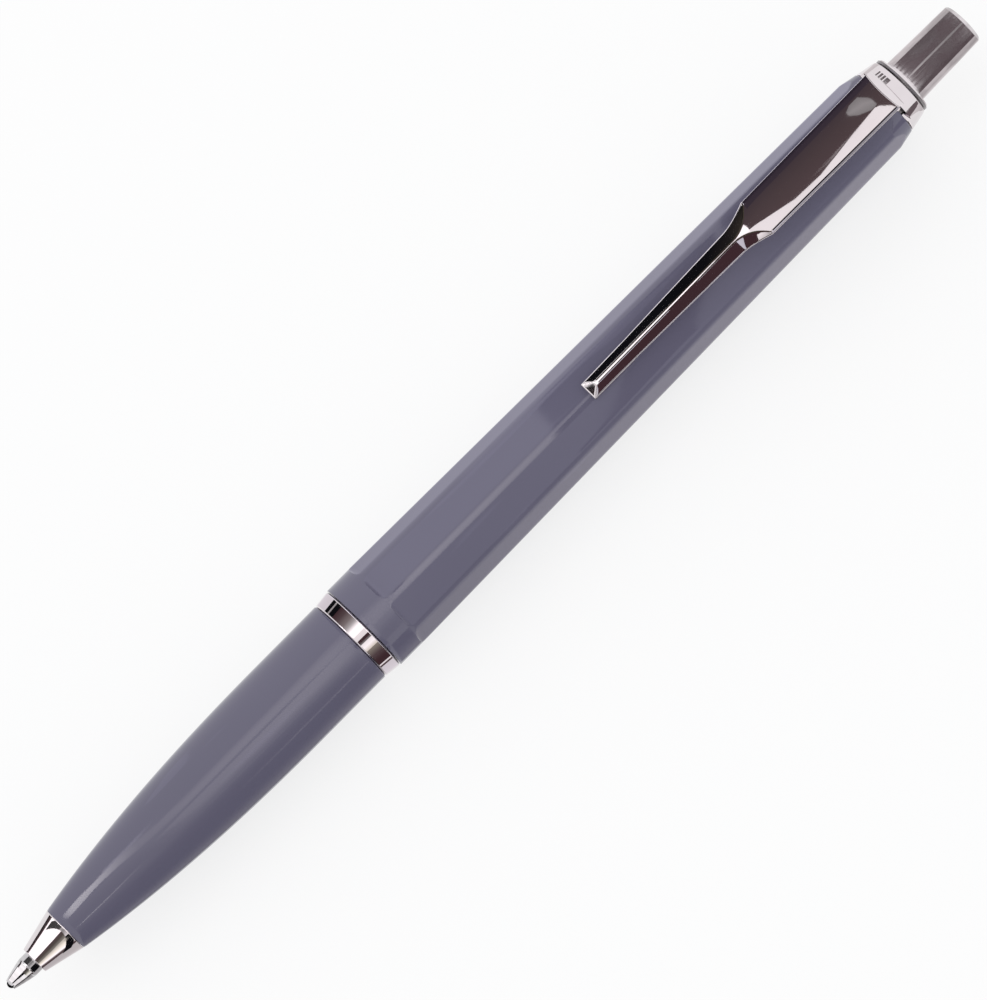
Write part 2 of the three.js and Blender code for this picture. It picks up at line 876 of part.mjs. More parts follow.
function clipChannel() {
  const plateStart = clipEnd - clipPlateLength;
  const neckPlace = plateStart - clipShoulderLength;
  const footEnd = clipStart + clipFootLength;
  const armSlope = (plateHeight - footHeight) / (plateStart - clipStart);
  const armTop = (place) => plateHeight - armSlope * (plateStart - place);
  const footBottom = barrelSurface(clipStart) + footClearance;
  const armSection = (place, width, bottom) =>
    clipSection(place, width, armTop(place), ridgeHeight, ridgeWidth, bottom);
  const armBottom = (place) => armTop(place) - ridgeHeight - armWallDepth;
  const widthAt = (place) =>
    footRearWidth + ((neckWidth - footRearWidth) * (place - footEnd)) / (neckPlace - footEnd);
  const loops = [
    clipSection(clipStart, footFrontWidth, footHeight - footNose, ridgeHeight - footNose / 2,
      ridgeWidth, footBottom),
    armSection(clipStart + footNoseLength, footFrontWidth, footBottom),
    armSection(footEnd - footStep, footRearWidth, footBottom),
    armSection(footEnd, footRearWidth, armBottom(footEnd)),
    armSection((footEnd + neckPlace) / 2, widthAt((footEnd + neckPlace) / 2),
      armBottom((footEnd + neckPlace) / 2)),
  ];
  for (const share of spread(0, 1, 5)) {
    const place = neckPlace + clipShoulderLength * share;
    const swell = 1 - Math.cos((share * Math.PI) / 2);
    const width = neckWidth + (plateFrontWidth - neckWidth) * swell;
    const slope = ridgeHeight + (plateCrown - ridgeHeight) * share;
    const topWidth = ridgeWidth + (ridgeEndShare * plateFrontWidth - ridgeWidth) * swell;
    const wall = armWallDepth + (plateWallDepth - armWallDepth) * share;
    loops.push(clipSection(place, width, armTop(place), slope, topWidth,
      armTop(place) - slope - wall));
  }
  const rear = clipEnd - bendRadius;
  loops.push(
    clipSection(rear, plateRearWidth, plateHeight, plateCrown, ridgeEndShare * plateRearWidth,
      plateHeight - plateCrown - plateWallDepth),
  );
  return solidOf(loft(loops, (p) => new THREE.Vector2(p.z, p.x)));
}

// Distance from the axis of the barrel's surface beneath the clip.
function barrelSurface(place) {
  const half = THREE.MathUtils.degToRad(sidePitch / 2);
  return (apothemAt(place) - flatsCornerRadius) / Math.cos(half) + flatsCornerRadius;
}

// The sheet bends down behind the plate, enters the crown's notch and ends in a leg.
function clipTongue() {
  const plateTop = plateHeight - plateCrown / 2;
  const innerBend = bendRadius - sheet;
  const bendStart = clipEnd - bendRadius - bendOverlap;
  const side = new THREE.Shape();
  side.moveTo(bendStart, plateTop);
  side.lineTo(clipEnd - bendRadius, plateTop);
  side.absarc(clipEnd - bendRadius, plateTop - bendRadius, bendRadius, Math.PI / 2, 0, true);
  side.lineTo(clipEnd, tongueBottom + sheet / 2);
  side.lineTo(clipEnd - sheet / 2, tongueBottom);
  side.lineTo(clipEnd - sheet - tongueLegLength, tongueBottom);
  side.lineTo(clipEnd - sheet - tongueLegLength, tongueBottom + sheet);
  side.lineTo(clipEnd - sheet, tongueBottom + sheet);
  side.lineTo(clipEnd - sheet, plateTop - bendRadius);
  side.absarc(clipEnd - bendRadius, plateTop - bendRadius, innerBend, 0, Math.PI / 2, false);
  side.lineTo(bendStart, plateTop - sheet);
  const strip = new THREE.ExtrudeGeometry(side, {
    depth: plateRearWidth,
    bevelEnabled: false,
    curveSegments: 6,
  });
  strip.translate(0, 0, -plateRearWidth / 2);
  // From (along, away, across) to (across, along, away).
  strip.applyMatrix4(new THREE.Matrix4().set(0, 0, 1, 0, 1, 0, 0, 0, 0, 1, 0, 0, 0, 0, 0, 1));
  const past = 1; // beyond the sheet on every side
  const shoulder = plateTop - bendRadius - bendShoulder;
  const wide = plateRearWidth / 2 - bendSetBack;
  const narrow = tongueWidth / 2;
  const outline = new THREE.Shape();
  outline.moveTo(-narrow, tongueBottom - past);
  outline.lineTo(narrow, tongueBottom - past);
  outline.lineTo(narrow, crownBaseRadius + sheet);
  outline.lineTo(wide, shoulder);
  outline.lineTo(wide, plateHeight + past);
  outline.lineTo(-wide, plateHeight + past);
  outline.lineTo(-wide, shoulder);
  outline.lineTo(-narrow, crownBaseRadius + sheet);
  const front = new THREE.ExtrudeGeometry(outline, {
    depth: tongueLegLength + bendRadius + bendOverlap + 2 * past,
    bevelEnabled: false,
  });
  // From (across, away, depth) to (across, along, away), ending behind the clip.
  front.applyMatrix4(
    new THREE.Matrix4().set(1, 0, 0, 0, 0, 0, -1, clipEnd + past, 0, 1, 0, 0, 0, 0, 0, 1),
  );
  return solidOf(strip).intersect(solidOf(front));
}

function clip() {
  return geometryOf(joined(clipChannel(), clipTongue()));
}

// Materials
const plastic = { color: 0x6e6a7c, roughness: 0.28, metalness: 0.0 };
const chrome = { color: 0xb9b4b6, roughness: 0.12, metalness: 1.0 };
const steel = { color: 0xa8a8aa, roughness: 0.3, metalness: 1.0 };
const darkPlastic = { color: 0x3a3a3e, roughness: 0.45, metalness: 0.0 };
const palePlastic = { color: 0xd8d6cf, roughness: 0.4, metalness: 0.0 };
const blueInk = { color: 0x14205e, roughness: 0.2, metalness: 0.0 };

const pen = new THREE.Group();

function addPiece(name, geometry, look, turn = 0) {
  const mesh = new THREE.Mesh(geometry, new THREE.MeshStandardMaterial(look));
  mesh.name = name;
  mesh.rotation.y = THREE.MathUtils.degToRad(turn);
  pen.add(mesh);
}

addPiece("writing_ball", writingBall(), steel);
addPiece("refill_point", refillPoint(), steel);
addPiece("refill_tube", refillTube(), steel);
addPiece("ink_column", inkColumn(), blueInk);
addPiece("refill_plug", refillPlug(), palePlastic);
addPiece("return_spring", returnSpring(), steel);
addPiece("nose_cone", noseCone(), chrome);
addPiece("lower_barrel", lowerBarrel(), plastic);
addPiece("center_ring", centreRing(), chrome);
addPiece("upper_barrel", upperBarrel(), plastic);
addPiece("cam_sleeve", camSleeve(), palePlastic);
addPiece("rotor_cam", rotorCam(), darkPlastic);
addPiece("plunger", plunger(), palePlastic);
addPiece("mechanism_bush", mechanismBush(), chrome);
addPiece("crown", crown(), chrome);
addPiece("push_button", pushButton(), chrome);
addPiece("clip", clip(), chrome, clipAngle);

console.log(`return spring: least gap to itself ${springSelfGap().toFixed(2)} mm`);

// Laid down: the axis along +X, the middle of the pen over the origin, the collar on the ground.
pen.rotation.z = -Math.PI / 2;
pen.position.set(-penLength / 2, 0, collarRadius);

const part = new THREE.Group();
part.add(pen);
export default part;
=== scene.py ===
"""A pushbutton ballpoint pen: round lower barrel, tapered eight-sided upper barrel, pressed clip."""

import math

import bmesh
import bpy
from bpy.props import FloatProperty, FloatVectorProperty, IntProperty, PointerProperty
from mathutils import Matrix, Vector


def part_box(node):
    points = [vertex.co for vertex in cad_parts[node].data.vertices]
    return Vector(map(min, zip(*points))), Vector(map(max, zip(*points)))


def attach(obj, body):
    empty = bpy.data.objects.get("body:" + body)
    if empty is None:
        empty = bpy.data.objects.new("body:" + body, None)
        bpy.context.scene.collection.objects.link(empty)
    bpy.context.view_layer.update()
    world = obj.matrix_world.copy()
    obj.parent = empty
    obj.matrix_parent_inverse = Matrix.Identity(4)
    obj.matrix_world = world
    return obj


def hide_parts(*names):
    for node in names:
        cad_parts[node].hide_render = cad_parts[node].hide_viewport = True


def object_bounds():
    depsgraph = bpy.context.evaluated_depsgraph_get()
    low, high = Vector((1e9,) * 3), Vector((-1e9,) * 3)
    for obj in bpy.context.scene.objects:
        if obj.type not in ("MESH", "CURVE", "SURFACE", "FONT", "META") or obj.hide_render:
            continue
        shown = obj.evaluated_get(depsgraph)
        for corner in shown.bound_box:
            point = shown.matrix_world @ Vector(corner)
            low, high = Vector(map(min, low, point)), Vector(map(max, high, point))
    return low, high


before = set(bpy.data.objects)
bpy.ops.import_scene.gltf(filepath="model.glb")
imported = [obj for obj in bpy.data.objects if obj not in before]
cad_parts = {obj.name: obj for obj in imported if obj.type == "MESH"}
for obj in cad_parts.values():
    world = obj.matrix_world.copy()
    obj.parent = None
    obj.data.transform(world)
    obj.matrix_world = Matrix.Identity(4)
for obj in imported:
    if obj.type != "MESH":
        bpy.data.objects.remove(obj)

bl_info = {
    "name": "Pushbutton Ballpoint Pen",
    "version": (1, 0, 0),
    "blender": (4, 5, 0),
    "location": "3D View > Sidebar > Pen",
    "description": "Builds a pushbutton ballpoint pen on a pale table",
    "category": "Object",
}

MM = 0.001
CAD_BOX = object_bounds()
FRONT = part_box("writing_ball")[0].x  # the front of the ball, where places along the pen start
AXIS_HEIGHT = sum(corner.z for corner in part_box("center_ring")) / 2
SIDES = 8
HALF_SIDE = math.pi / SIDES
CLIP_ANGLE = math.radians(17.0)  # how far the clip leans from straight up
COLLAR_LENGTH = 2.9 * MM  # the upper barrel's round part, in front of its flats
SOCKET_RADIUS = 4.09 * MM  # the upper barrel's and the ring's hole for the lower barrel's spigot
THROAT_RADIUS = 3.07 * MM  # the upper barrel's and the crown's hole for the bush
TONGUE_NOTCH = 3.1 * MM  # width of the notch that the clip's tongue goes through


# Places and points


def place(x):
    """Distance from the front of the ball, along the pen."""
    return x - FRONT


def ends(node):
    """Where a CAD node starts and ends along the pen."""
    low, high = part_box(node)
    return place(low.x), place(high.x)


def round_point(along, radius, angle):
    """A point at an angle round the pen, counted from straight up towards -Y."""
    return Vector(
        (FRONT + along, -radius * math.sin(angle), AXIS_HEIGHT + radius * math.cos(angle))
    )


def clip_point(across, along, away):
    """A point in the clip's own frame: across it, along the pen and away from the pen's axis."""
    out = Vector((0, -math.sin(CLIP_ANGLE), math.cos(CLIP_ANGLE)))
    side = Vector((0, -math.cos(CLIP_ANGLE), -math.sin(CLIP_ANGLE)))
    return Vector((FRONT + along, 0, AXIS_HEIGHT)) + side * across + out * away


def spread(start, end, steps):
    """Evenly spaced values, both ends included."""
    return [start + (end - start) * i / steps for i in range(steps + 1)]


def softened(points, reach, steps=4):
    """An open outline with each inner corner replaced by a short curve.

    A point just outside each end of a curve keeps the shading of the straight parts flat.
    """
    result = [Vector(points[0])]
    for before, corner, after in zip(points, points[1:], points[2:]):
        before, corner, after = Vector(before), Vector(corner), Vector(after)
        back, ahead = before - corner, after - corner
        room = min(back.length, ahead.length)
        size, hold = min(reach, 0.45 * room), min(0.03 * MM, 0.04 * room)
        start = corner + back.normalized() * size
        end = corner + ahead.normalized() * size
        result.append(corner + back.normalized() * (size + hold))
        for t in spread(0, 1, steps):
            result.append(start.lerp(corner, t).lerp(corner.lerp(end, t), t))
        result.append(corner + ahead.normalized() * (size + hold))
    result.append(Vector(points[-1]))
    return result


def rounded(outline, reach, steps=4):
    """An outline of (along, radius) pairs with its inner corners rounded."""
    flat = softened([(along, radius, 0) for along, radius in outline], reach, steps)
    return [(point.x, point.y) for point in flat]


# Meshes


def new_object(name, mesh):
    made = bpy.data.objects.new(name, mesh)
    bpy.context.scene.collection.objects.link(made)
    return made


def object_from(name, vertices, faces, crease=32):
    """A smooth-shaded object with its sharp edges kept and its faces pointing out."""
    mesh = bpy.data.meshes.new(name)
    mesh.from_pydata([tuple(v) for v in vertices], [], faces)
    form = bmesh.new()
    form.from_mesh(mesh)
    bmesh.ops.remove_doubles(form, verts=form.verts, dist=1e-7)
    bmesh.ops.recalc_face_normals(form, faces=form.faces)
    form.to_mesh(mesh)
    form.free()
    shade(mesh, crease)
    return new_object(name, mesh)


def shade(mesh, crease=32):
    mesh.polygons.foreach_set("use_smooth", [True] * len(mesh.polygons))
    mesh.set_sharp_from_angle(angle=math.radians(crease))


def skin(rings, closed_ends=True):
    """Faces between rings of equal length; the last ring joins the first unless the ends are closed."""
    count = len(rings[0])
    faces = []
    spans = len(rings) - 1 if closed_ends else len(rings)
    for ring in range(spans):
        here, there = ring * count, ((ring + 1) % len(rings)) * count
        for i in range(count):
            j = (i + 1) % count
            faces.append((here + i, here + j, there + j, there + i))
    return [point for ring in rings for point in ring], faces


def turned(name, outline, segments=96, crease=32):
    """A turned piece from a closed outline of (along, radius) pairs, or one that ends on the axis."""
    rings = []
    for along, radius in outline:
        rings.append([
            round_point(along, max(radius, 1e-9), 2 * math.pi * i / segments)
            for i in range(segments)
        ])
    on_axis = outline[0][1] == 0
    vertices, faces = skin(rings, closed_ends=on_axis)
    return object_from(name, vertices, faces, crease)


def applied(piece):
    """The piece with its modifiers made part of its mesh."""
    seen = piece.evaluated_get(bpy.context.evaluated_depsgraph_get())
    mesh = bpy.data.meshes.new_from_object(seen)
    piece.modifiers.clear()
    piece.data = mesh
    return piece


def cut_away(piece, tool):
    """The piece less the tool, which is then deleted."""
    step = piece.modifiers.new("cut", "BOOLEAN")
    step.object = tool
    step.operation = "DIFFERENCE"
    step.solver = "EXACT"
    applied(piece)
    bpy.data.objects.remove(tool)
    shade(piece.data)
    return piece


def clip_block(name, width, start, end, low, high):
    """A block in the clip's own frame, for cutting the notch of its tongue."""
    corners = [
        clip_point(x, y, z)
        for x in (-width / 2, width / 2)
        for y in (start, end)
        for z in (low, high)
    ]
    faces = [(0, 1, 3, 2), (4, 6, 7, 5), (0, 4, 5, 1), (2, 3, 7, 6), (0, 2, 6, 4), (1, 5, 7, 3)]
    return object_from(name, corners, faces)


def set_in_place(piece, finish, body, slot, *nodes):
    """Gives a finished piece its material and its body, and hides the CAD nodes that it stands for."""
    piece.data.materials.clear()
    piece.data.materials.append(finish)
    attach(piece, body)
    if nodes:
        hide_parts(*nodes)
    return piece


# Shader groups, shared by the materials


def new_group(name, inputs, outputs):
    """An empty shader group with float inputs, a vector input called Place, and float outputs."""
    group = bpy.data.node_groups.new(name, "ShaderNodeTree")
    group.interface.new_socket("Place", in_out="INPUT", socket_type="NodeSocketVector")
    for label, value in inputs.items():
        socket = group.interface.new_socket(label, in_out="INPUT", socket_type="NodeSocketFloat")
        socket.default_value = value
    for label in outputs:
        group.interface.new_socket(label, in_out="OUTPUT", socket_type="NodeSocketFloat")
    return group, group.nodes.new("NodeGroupInput"), group.nodes.new("NodeGroupOutput")


def add_math(tree, operation, first, second, third=None):
    node = tree.nodes.new("ShaderNodeMath")
    node.operation = operation
    for socket, value in zip(node.inputs, (first, second, third)):
        if value is None:
            continue
        if isinstance(value, (int, float)):
            socket.default_value = value
        else:
            tree.links.new(value, socket)
    return node.outputs[0]


def add_range(tree, value, low, high, to_low=0.0, to_high=1.0):
    node = tree.nodes.new("ShaderNodeMapRange")
    node.interpolation_type = "SMOOTHSTEP"
    tree.links.new(value, node.inputs["Value"])
    for label, number in (
        ("From Min", low), ("From Max", high), ("To Min", to_low), ("To Max", to_high)
    ):
        node.inputs[label].default_value = number
    return node.outputs["Result"]


def add_noise(tree, vector, scale, detail=2.0, roughness=0.5):
    node = tree.nodes.new("ShaderNodeTexNoise")
    tree.links.new(vector, node.inputs["Vector"])
    if isinstance(scale, (int, float)):
        node.inputs["Scale"].default_value = scale
    else:
        tree.links.new(scale, node.inputs["Scale"])
    node.inputs["Detail"].default_value = detail
    node.inputs["Roughness"].default_value = roughness
    return node.outputs["Fac"]


def add_stretch(tree, vector, stretch, turn=(0, 0, 0)):
    node = tree.nodes.new("ShaderNodeMapping")
    node.inputs["Scale"].default_value = stretch
    node.inputs["Rotation"].default_value = turn
    tree.links.new(vector, node.inputs["Vector"])
    return node.outputs["Vector"]


def made_once(maker):
    """Lets a maker of a shader group build it once and find it by its name from then on."""
    name = maker.__name__

    def group():
        return bpy.data.node_groups.get(name) or maker(name)

    return group


@made_once
def handling_marks(name):
    """Faint smears and hair scratches from being carried: two masks and a height."""
    group, given, result = new_group(
        name, {"Smear Scale": 160.0, "Scratch Scale": 900.0}, ("Smears", "Scratches", "Height")
    )
    spot = given.outputs["Place"]
    smears = add_noise(group, add_stretch(group, spot, (0.5, 1.0, 1.0)),
                       given.outputs["Smear Scale"], 4.0, 0.55)
    along = add_noise(group, add_stretch(group, spot, (0.06, 1.0, 1.0), (0.0, 0.25, 0.3)),
                      given.outputs["Scratch Scale"], 1.0)
    askew = add_noise(group, add_stretch(group, spot, (0.08, 1.0, 1.0), (0.3, -0.7, -0.6)),
                      given.outputs["Scratch Scale"], 1.0)
    line_a = add_range(group, along, 0.68, 0.74)
    line_b = add_range(group, askew, 0.70, 0.76)
    lines = add_math(group, "MAXIMUM", line_a, line_b)
    group.links.new(add_range(group, smears, 0.35, 0.7), result.inputs["Smears"])
    group.links.new(lines, result.inputs["Scratches"])
    group.links.new(add_math(group, "MULTIPLY", lines, -1.0), result.inputs["Height"])
    return group


@made_once
def moulded_skin(name):
    """The faint ripple and flow marks of a moulded surface: a mask and a height."""
    group, given, result = new_group(
        name, {"Ripple Scale": 700.0, "Flow Scale": 60.0}, ("Flow", "Height")
    )
    spot = given.outputs["Place"]
    ripple = add_noise(group, spot, given.outputs["Ripple Scale"], 2.0, 0.4)
    flow = add_noise(group, add_stretch(group, spot, (0.3, 1.0, 1.0)),
                     given.outputs["Flow Scale"], 3.0, 0.5)
    group.links.new(add_range(group, flow, 0.3, 0.7), result.inputs["Flow"])
    group.links.new(ripple, result.inputs["Height"])
    return group


@made_once
def turned_grain(name):
    """Fine rings left by turning or drawing round the pen's axis: a mask and a height."""
    group, given, result = new_group(name, {"Ring Scale": 2500.0}, ("Rings", "Height"))
    rings = add_noise(group, add_stretch(group, given.outputs["Place"], (1.0, 0.04, 0.04)),
                      given.outputs["Ring Scale"], 2.0, 0.6)
    group.links.new(add_range(group, rings, 0.3, 0.7), result.inputs["Rings"])
    group.links.new(rings, result.inputs["Height"])
    return group


class Finish:
    """A material being built, with the few node helpers that every finish uses."""

    def __init__(self, name):
        self.material = bpy.data.materials.new(name)
        self.material.use_nodes = True
        self.tree = self.material.node_tree
        self.shader = self.tree.nodes["Principled BSDF"]
        self.spot = self.tree.nodes.new("ShaderNodeTexCoord").outputs["Object"]

    def group(self, made, **values):
        node = self.tree.nodes.new("ShaderNodeGroup")
        node.node_tree = made
        self.tree.links.new(self.spot, node.inputs["Place"])
        for label, value in values.items():
            node.inputs[label.replace("_", " ")].default_value = value
        return node.outputs

    def mix(self, share, first, second):
        node = self.tree.nodes.new("ShaderNodeMix")
        node.data_type = "RGBA"
        self.tree.links.new(share, node.inputs["Factor"])
        for label, value in (("A", first), ("B", second)):
            socket = [s for s in node.inputs if s.name == label and s.type == "RGBA"][0]
            if isinstance(value, bpy.types.NodeSocket):
                self.tree.links.new(value, socket)
            else:
                socket.default_value = (*value[:3], 1.0)
        return [s for s in node.outputs if s.type == "RGBA"][0]

    def colour(self, output):
        self.tree.links.new(output, self.shader.inputs["Base Color"])

    def roughness(self, output):
        self.tree.links.new(output, self.shader.inputs["Roughness"])

    def bump(self, height, distance, strength=1.0, before=None):
        node = self.tree.nodes.new("ShaderNodeBump")
        node.inputs["Strength"].default_value = strength
        node.inputs["Distance"].default_value = distance
        self.tree.links.new(height, node.inputs["Height"])
        if before is not None:
            self.tree.links.new(before, node.inputs["Normal"])
        return node.outputs["Normal"]

    def normal(self, output):
        self.tree.links.new(output, self.shader.inputs["Normal"])


def barrel_moulding(colours):
    finish = Finish("grey_violet_moulding")
    skin_out = finish.group(moulded_skin(), Ripple_Scale=600.0, Flow_Scale=45.0)
    marks_and_reflections = finish.group(handling_marks(), Smear_Scale=120.0, Scratch_Scale=700.0)
    deep = [c * 0.9 for c in colours.barrel]
    pale = [c * 1.06 for c in colours.barrel]
    body = finish.mix(skin_out["Flow"], deep, pale)
    worn = add_math(finish.tree, "MULTIPLY", marks_and_reflections["Scratches"], 0.12)
    finish.colour(finish.mix(worn, body, [min(1.0, c * 1.8) for c in colours.barrel]))
    gloss = add_range(finish.tree, marks_and_reflections["Smears"], 0.0, 1.0, 0.07, 0.11)
    rough = add_math(finish.tree, "MULTIPLY_ADD", marks_and_reflections["Scratches"], 0.1, gloss)
    finish.roughness(rough)
    ripple = finish.bump(skin_out["Height"], 0.002 * MM)
    finish.normal(finish.bump(marks_and_reflections["Height"], 0.001 * MM, before=ripple))
    finish.shader.inputs["IOR"].default_value = 1.5
    return finish.material


def bright_chrome(colours, name="bright_chrome", smear=0.02, scratch=0.06, low=0.03, tint=None,
                  stain=0.95, blot=260.0):
    finish = Finish(name)
    marks_and_reflections = finish.group(handling_marks(), Smear_Scale=blot, Scratch_Scale=1100.0)
    grain = finish.group(turned_grain(), Ring_Scale=1500.0)
    metal = tint or colours.chrome
    finish.colour(finish.mix(marks_and_reflections["Smears"], metal, [c * stain for c in metal]))
    haze = add_range(finish.tree, marks_and_reflections["Smears"], 0.0, 1.0, low, low + smear)
    finish.roughness(add_math(finish.tree, "MULTIPLY_ADD", marks_and_reflections["Scratches"], scratch, haze))
    ripple = finish.bump(grain["Height"], 0.0003 * MM)
    finish.normal(finish.bump(marks_and_reflections["Height"], 0.0008 * MM, before=ripple))
    finish.shader.inputs["Metallic"].default_value = 1.0
    return finish.material


def drawn_steel(colours, name="drawn_steel", low=0.16, high=0.27, grooves=0.003):
    finish = Finish(name)
    marks_and_reflections = finish.group(handling_marks(), Smear_Scale=300.0, Scratch_Scale=1200.0)
    grain = finish.group(turned_grain(), Ring_Scale=2600.0)
    tint = finish.mix(grain["Rings"], [c * 0.82 for c in colours.steel], colours.steel)
    finish.colour(tint)
    ringed = add_range(finish.tree, grain["Rings"], 0.0, 1.0, low, high)
    finish.roughness(add_math(finish.tree, "MULTIPLY_ADD", marks_and_reflections["Smears"], low / 2, ringed))
    finish.normal(finish.bump(grain["Height"], grooves * MM))
    finish.shader.inputs["Metallic"].default_value = 1.0
    return finish.material


def inner_moulding(name, colour):
    finish = Finish(name)
    skin_out = finish.group(moulded_skin(), Ripple_Scale=1600.0, Flow_Scale=140.0)
    marks_and_reflections = finish.group(handling_marks(), Smear_Scale=350.0, Scratch_Scale=1500.0)
    body = finish.mix(skin_out["Flow"], [c * 0.88 for c in colour], colour)
    rubbed = add_math(finish.tree, "MULTIPLY", marks_and_reflections["Smears"], 0.25)
    finish.colour(finish.mix(rubbed, body, [c * 0.7 for c in colour]))
    finish.roughness(add_range(finish.tree, marks_and_reflections["Smears"], 0.0, 1.0, 0.38, 0.52))
    finish.normal(finish.bump(skin_out["Height"], 0.006 * MM))
    return finish.material


def wet_ink(colours):
    finish = Finish("wet_ink")
    skin_out = finish.group(moulded_skin(), Ripple_Scale=400.0, Flow_Scale=90.0)
    finish.colour(finish.mix(skin_out["Flow"], [c * 0.6 for c in colours.ink], colours.ink))
    finish.roughness(add_range(finish.tree, skin_out["Flow"], 0.0, 1.0, 0.12, 0.22))
    finish.normal(finish.bump(skin_out["Height"], 0.01 * MM))
    return finish.material


def finish_named(name):
    """The material of that name, made the first time that it is asked for."""
    if name in bpy.data.materials:
        return bpy.data.materials[name]
    colours = bpy.context.scene.pen_colours
    makers = {
        "grey_violet_moulding": lambda: barrel_moulding(colours),
        "bright_chrome": lambda: bright_chrome(colours),
        "thumbed_chrome": lambda: bright_chrome(
            colours, "thumbed_chrome", 0.05, 0.1, 0.04, stain=0.68, blot=520.0),
        # The flange's plating: chrome at a third of its tint and rougher, which makes it dark grey.
        "darkened_plating": lambda: bright_chrome(
            colours, "darkened_plating", 0.1, 0.1, 0.18, [c * 0.33 for c in colours.chrome]),
        "drawn_steel": lambda: drawn_steel(colours),
        "polished_steel": lambda: drawn_steel(colours, "polished_steel", 0.04, 0.06, 0.0003),
        "pale_moulding": lambda: inner_moulding("pale_moulding", colours.pale_plastic),
        "dark_moulding": lambda: inner_moulding("dark_moulding", colours.dark_plastic),
        "wet_ink": lambda: wet_ink(colours),
    }
    return makers[name]()


# The sizes and colours that a user would change


class PenSizes(bpy.types.PropertyGroup):
    lower_width: FloatProperty(
        name="Lower width", description="Thickness of the round lower barrel",
        default=9.86 * MM, unit="LENGTH", precision=5)
    lower_front_width: FloatProperty(
        name="Front width", description="Thickness where the lower barrel meets the nose cone",
        default=5.2 * MM, unit="LENGTH", precision=5)
    collar_width: FloatProperty(
        name="Collar width", description="Thickness of the round collar behind the centre ring",
        default=10.4 * MM, unit="LENGTH", precision=5)
    flats_width: FloatProperty(
        name="Width over flats", description="Across two flats, where they start",
        default=9.89 * MM, unit="LENGTH", precision=5)
    flats_taper: FloatProperty(
        name="Taper of flats", description="Angle between a flat and the pen's axis",
        default=math.radians(0.64), subtype="ANGLE")
    corner_radius: FloatProperty(
        name="Corner radius", description="Rounding between two flats",
        default=1.7 * MM, unit="LENGTH", precision=5)
    run_out: FloatProperty(
        name="Run-out", description="Length over which a flat rises to the collar",
        default=0.7 * MM, unit="LENGTH", precision=5)
    plate_width: FloatProperty(
        name="Plate width", description="Width of the clip's plate at its rear end",
        default=4.8 * MM, unit="LENGTH", precision=5)
    sheet: FloatProperty(
        name="Sheet", description="Thickness of the clip's sheet",
        default=0.42 * MM, unit="LENGTH", precision=5)
    spring_turns: IntProperty(
        name="Spring turns", description="Turns of the return spring", default=9, min=2)


class PenColours(bpy.types.PropertyGroup):
    barrel: FloatVectorProperty(
        name="Barrel", description="Grey-violet of both barrels", subtype="COLOR",
        default=(0.131, 0.123, 0.18), min=0, max=1)
    chrome: FloatVectorProperty(
        name="Chrome", description="Tint of the plated metal", subtype="COLOR",
        default=(0.77, 0.725, 0.74), min=0, max=1)
    steel: FloatVectorProperty(
        name="Steel", description="Refill, point and spring", subtype="COLOR",
        default=(0.66, 0.65, 0.66), min=0, max=1)
    pale_plastic: FloatVectorProperty(
        name="Pale plastic", description="Sleeve, plunger and plug", subtype="COLOR",
        default=(0.72, 0.70, 0.64), min=0, max=1)
    dark_plastic: FloatVectorProperty(
        name="Dark plastic", description="Turning cam", subtype="COLOR",
        default=(0.04, 0.04, 0.045), min=0, max=1)
    ink: FloatVectorProperty(
        name="Ink", description="Colour of the ink", subtype="COLOR",
        default=(0.006, 0.012, 0.09), min=0, max=1)
    table: FloatVectorProperty(
        name="Table", description="Colour of the table top", subtype="COLOR",
        default=(0.93, 0.93, 0.93), min=0, max=1)


class PenStage(bpy.types.PropertyGroup):
    view_roll: FloatProperty(
        name="View roll", description="Angle of the pen in the picture",
        default=math.radians(45.27), subtype="ANGLE")
    view_lean: FloatProperty(
        name="View lean", description="How far the camera leans from straight above, towards -Y",
        default=math.radians(24.5), subtype="ANGLE")
    frame_height: FloatProperty(
        name="Frame height", description="Height of the picture at the pen",
        default=99.95 * MM, unit="LENGTH", precision=5)
    view_place: FloatProperty(
        name="View place", description="Place along the pen in the middle of the picture",
        default=68.5 * MM, unit="LENGTH", precision=5)
    view_offset: FloatProperty(
        name="View offset", description="How far the axis lies beside the middle of the picture",
        default=0.21 * MM, unit="LENGTH", precision=5)
    camera_distance: FloatProperty(
        name="Camera distance", description="From the camera to the pen",
        default=0.9, unit="LENGTH")
    camera_place: FloatProperty(
        name="Camera place", description="Place along the pen that the camera stands over",
        default=5.0 * MM, unit="LENGTH", precision=5)


# Pieces


def flats_apothem(sizes, along):
    """Distance from the axis to the flats, which taper to the rear and run out at the collar."""
    start = ends("upper_barrel")[0] + COLLAR_LENGTH
    flat = sizes.flats_width / 2 - (along - start) * math.tan(sizes.flats_taper)
    share = max(0.0, min(1.0, 1 - (along - start) / sizes.run_out))
    rise = sizes.collar_width / 2 - sizes.flats_width / 2 + 0.08 * MM
    return flat + rise * (1 - math.sqrt(1 - share * share))


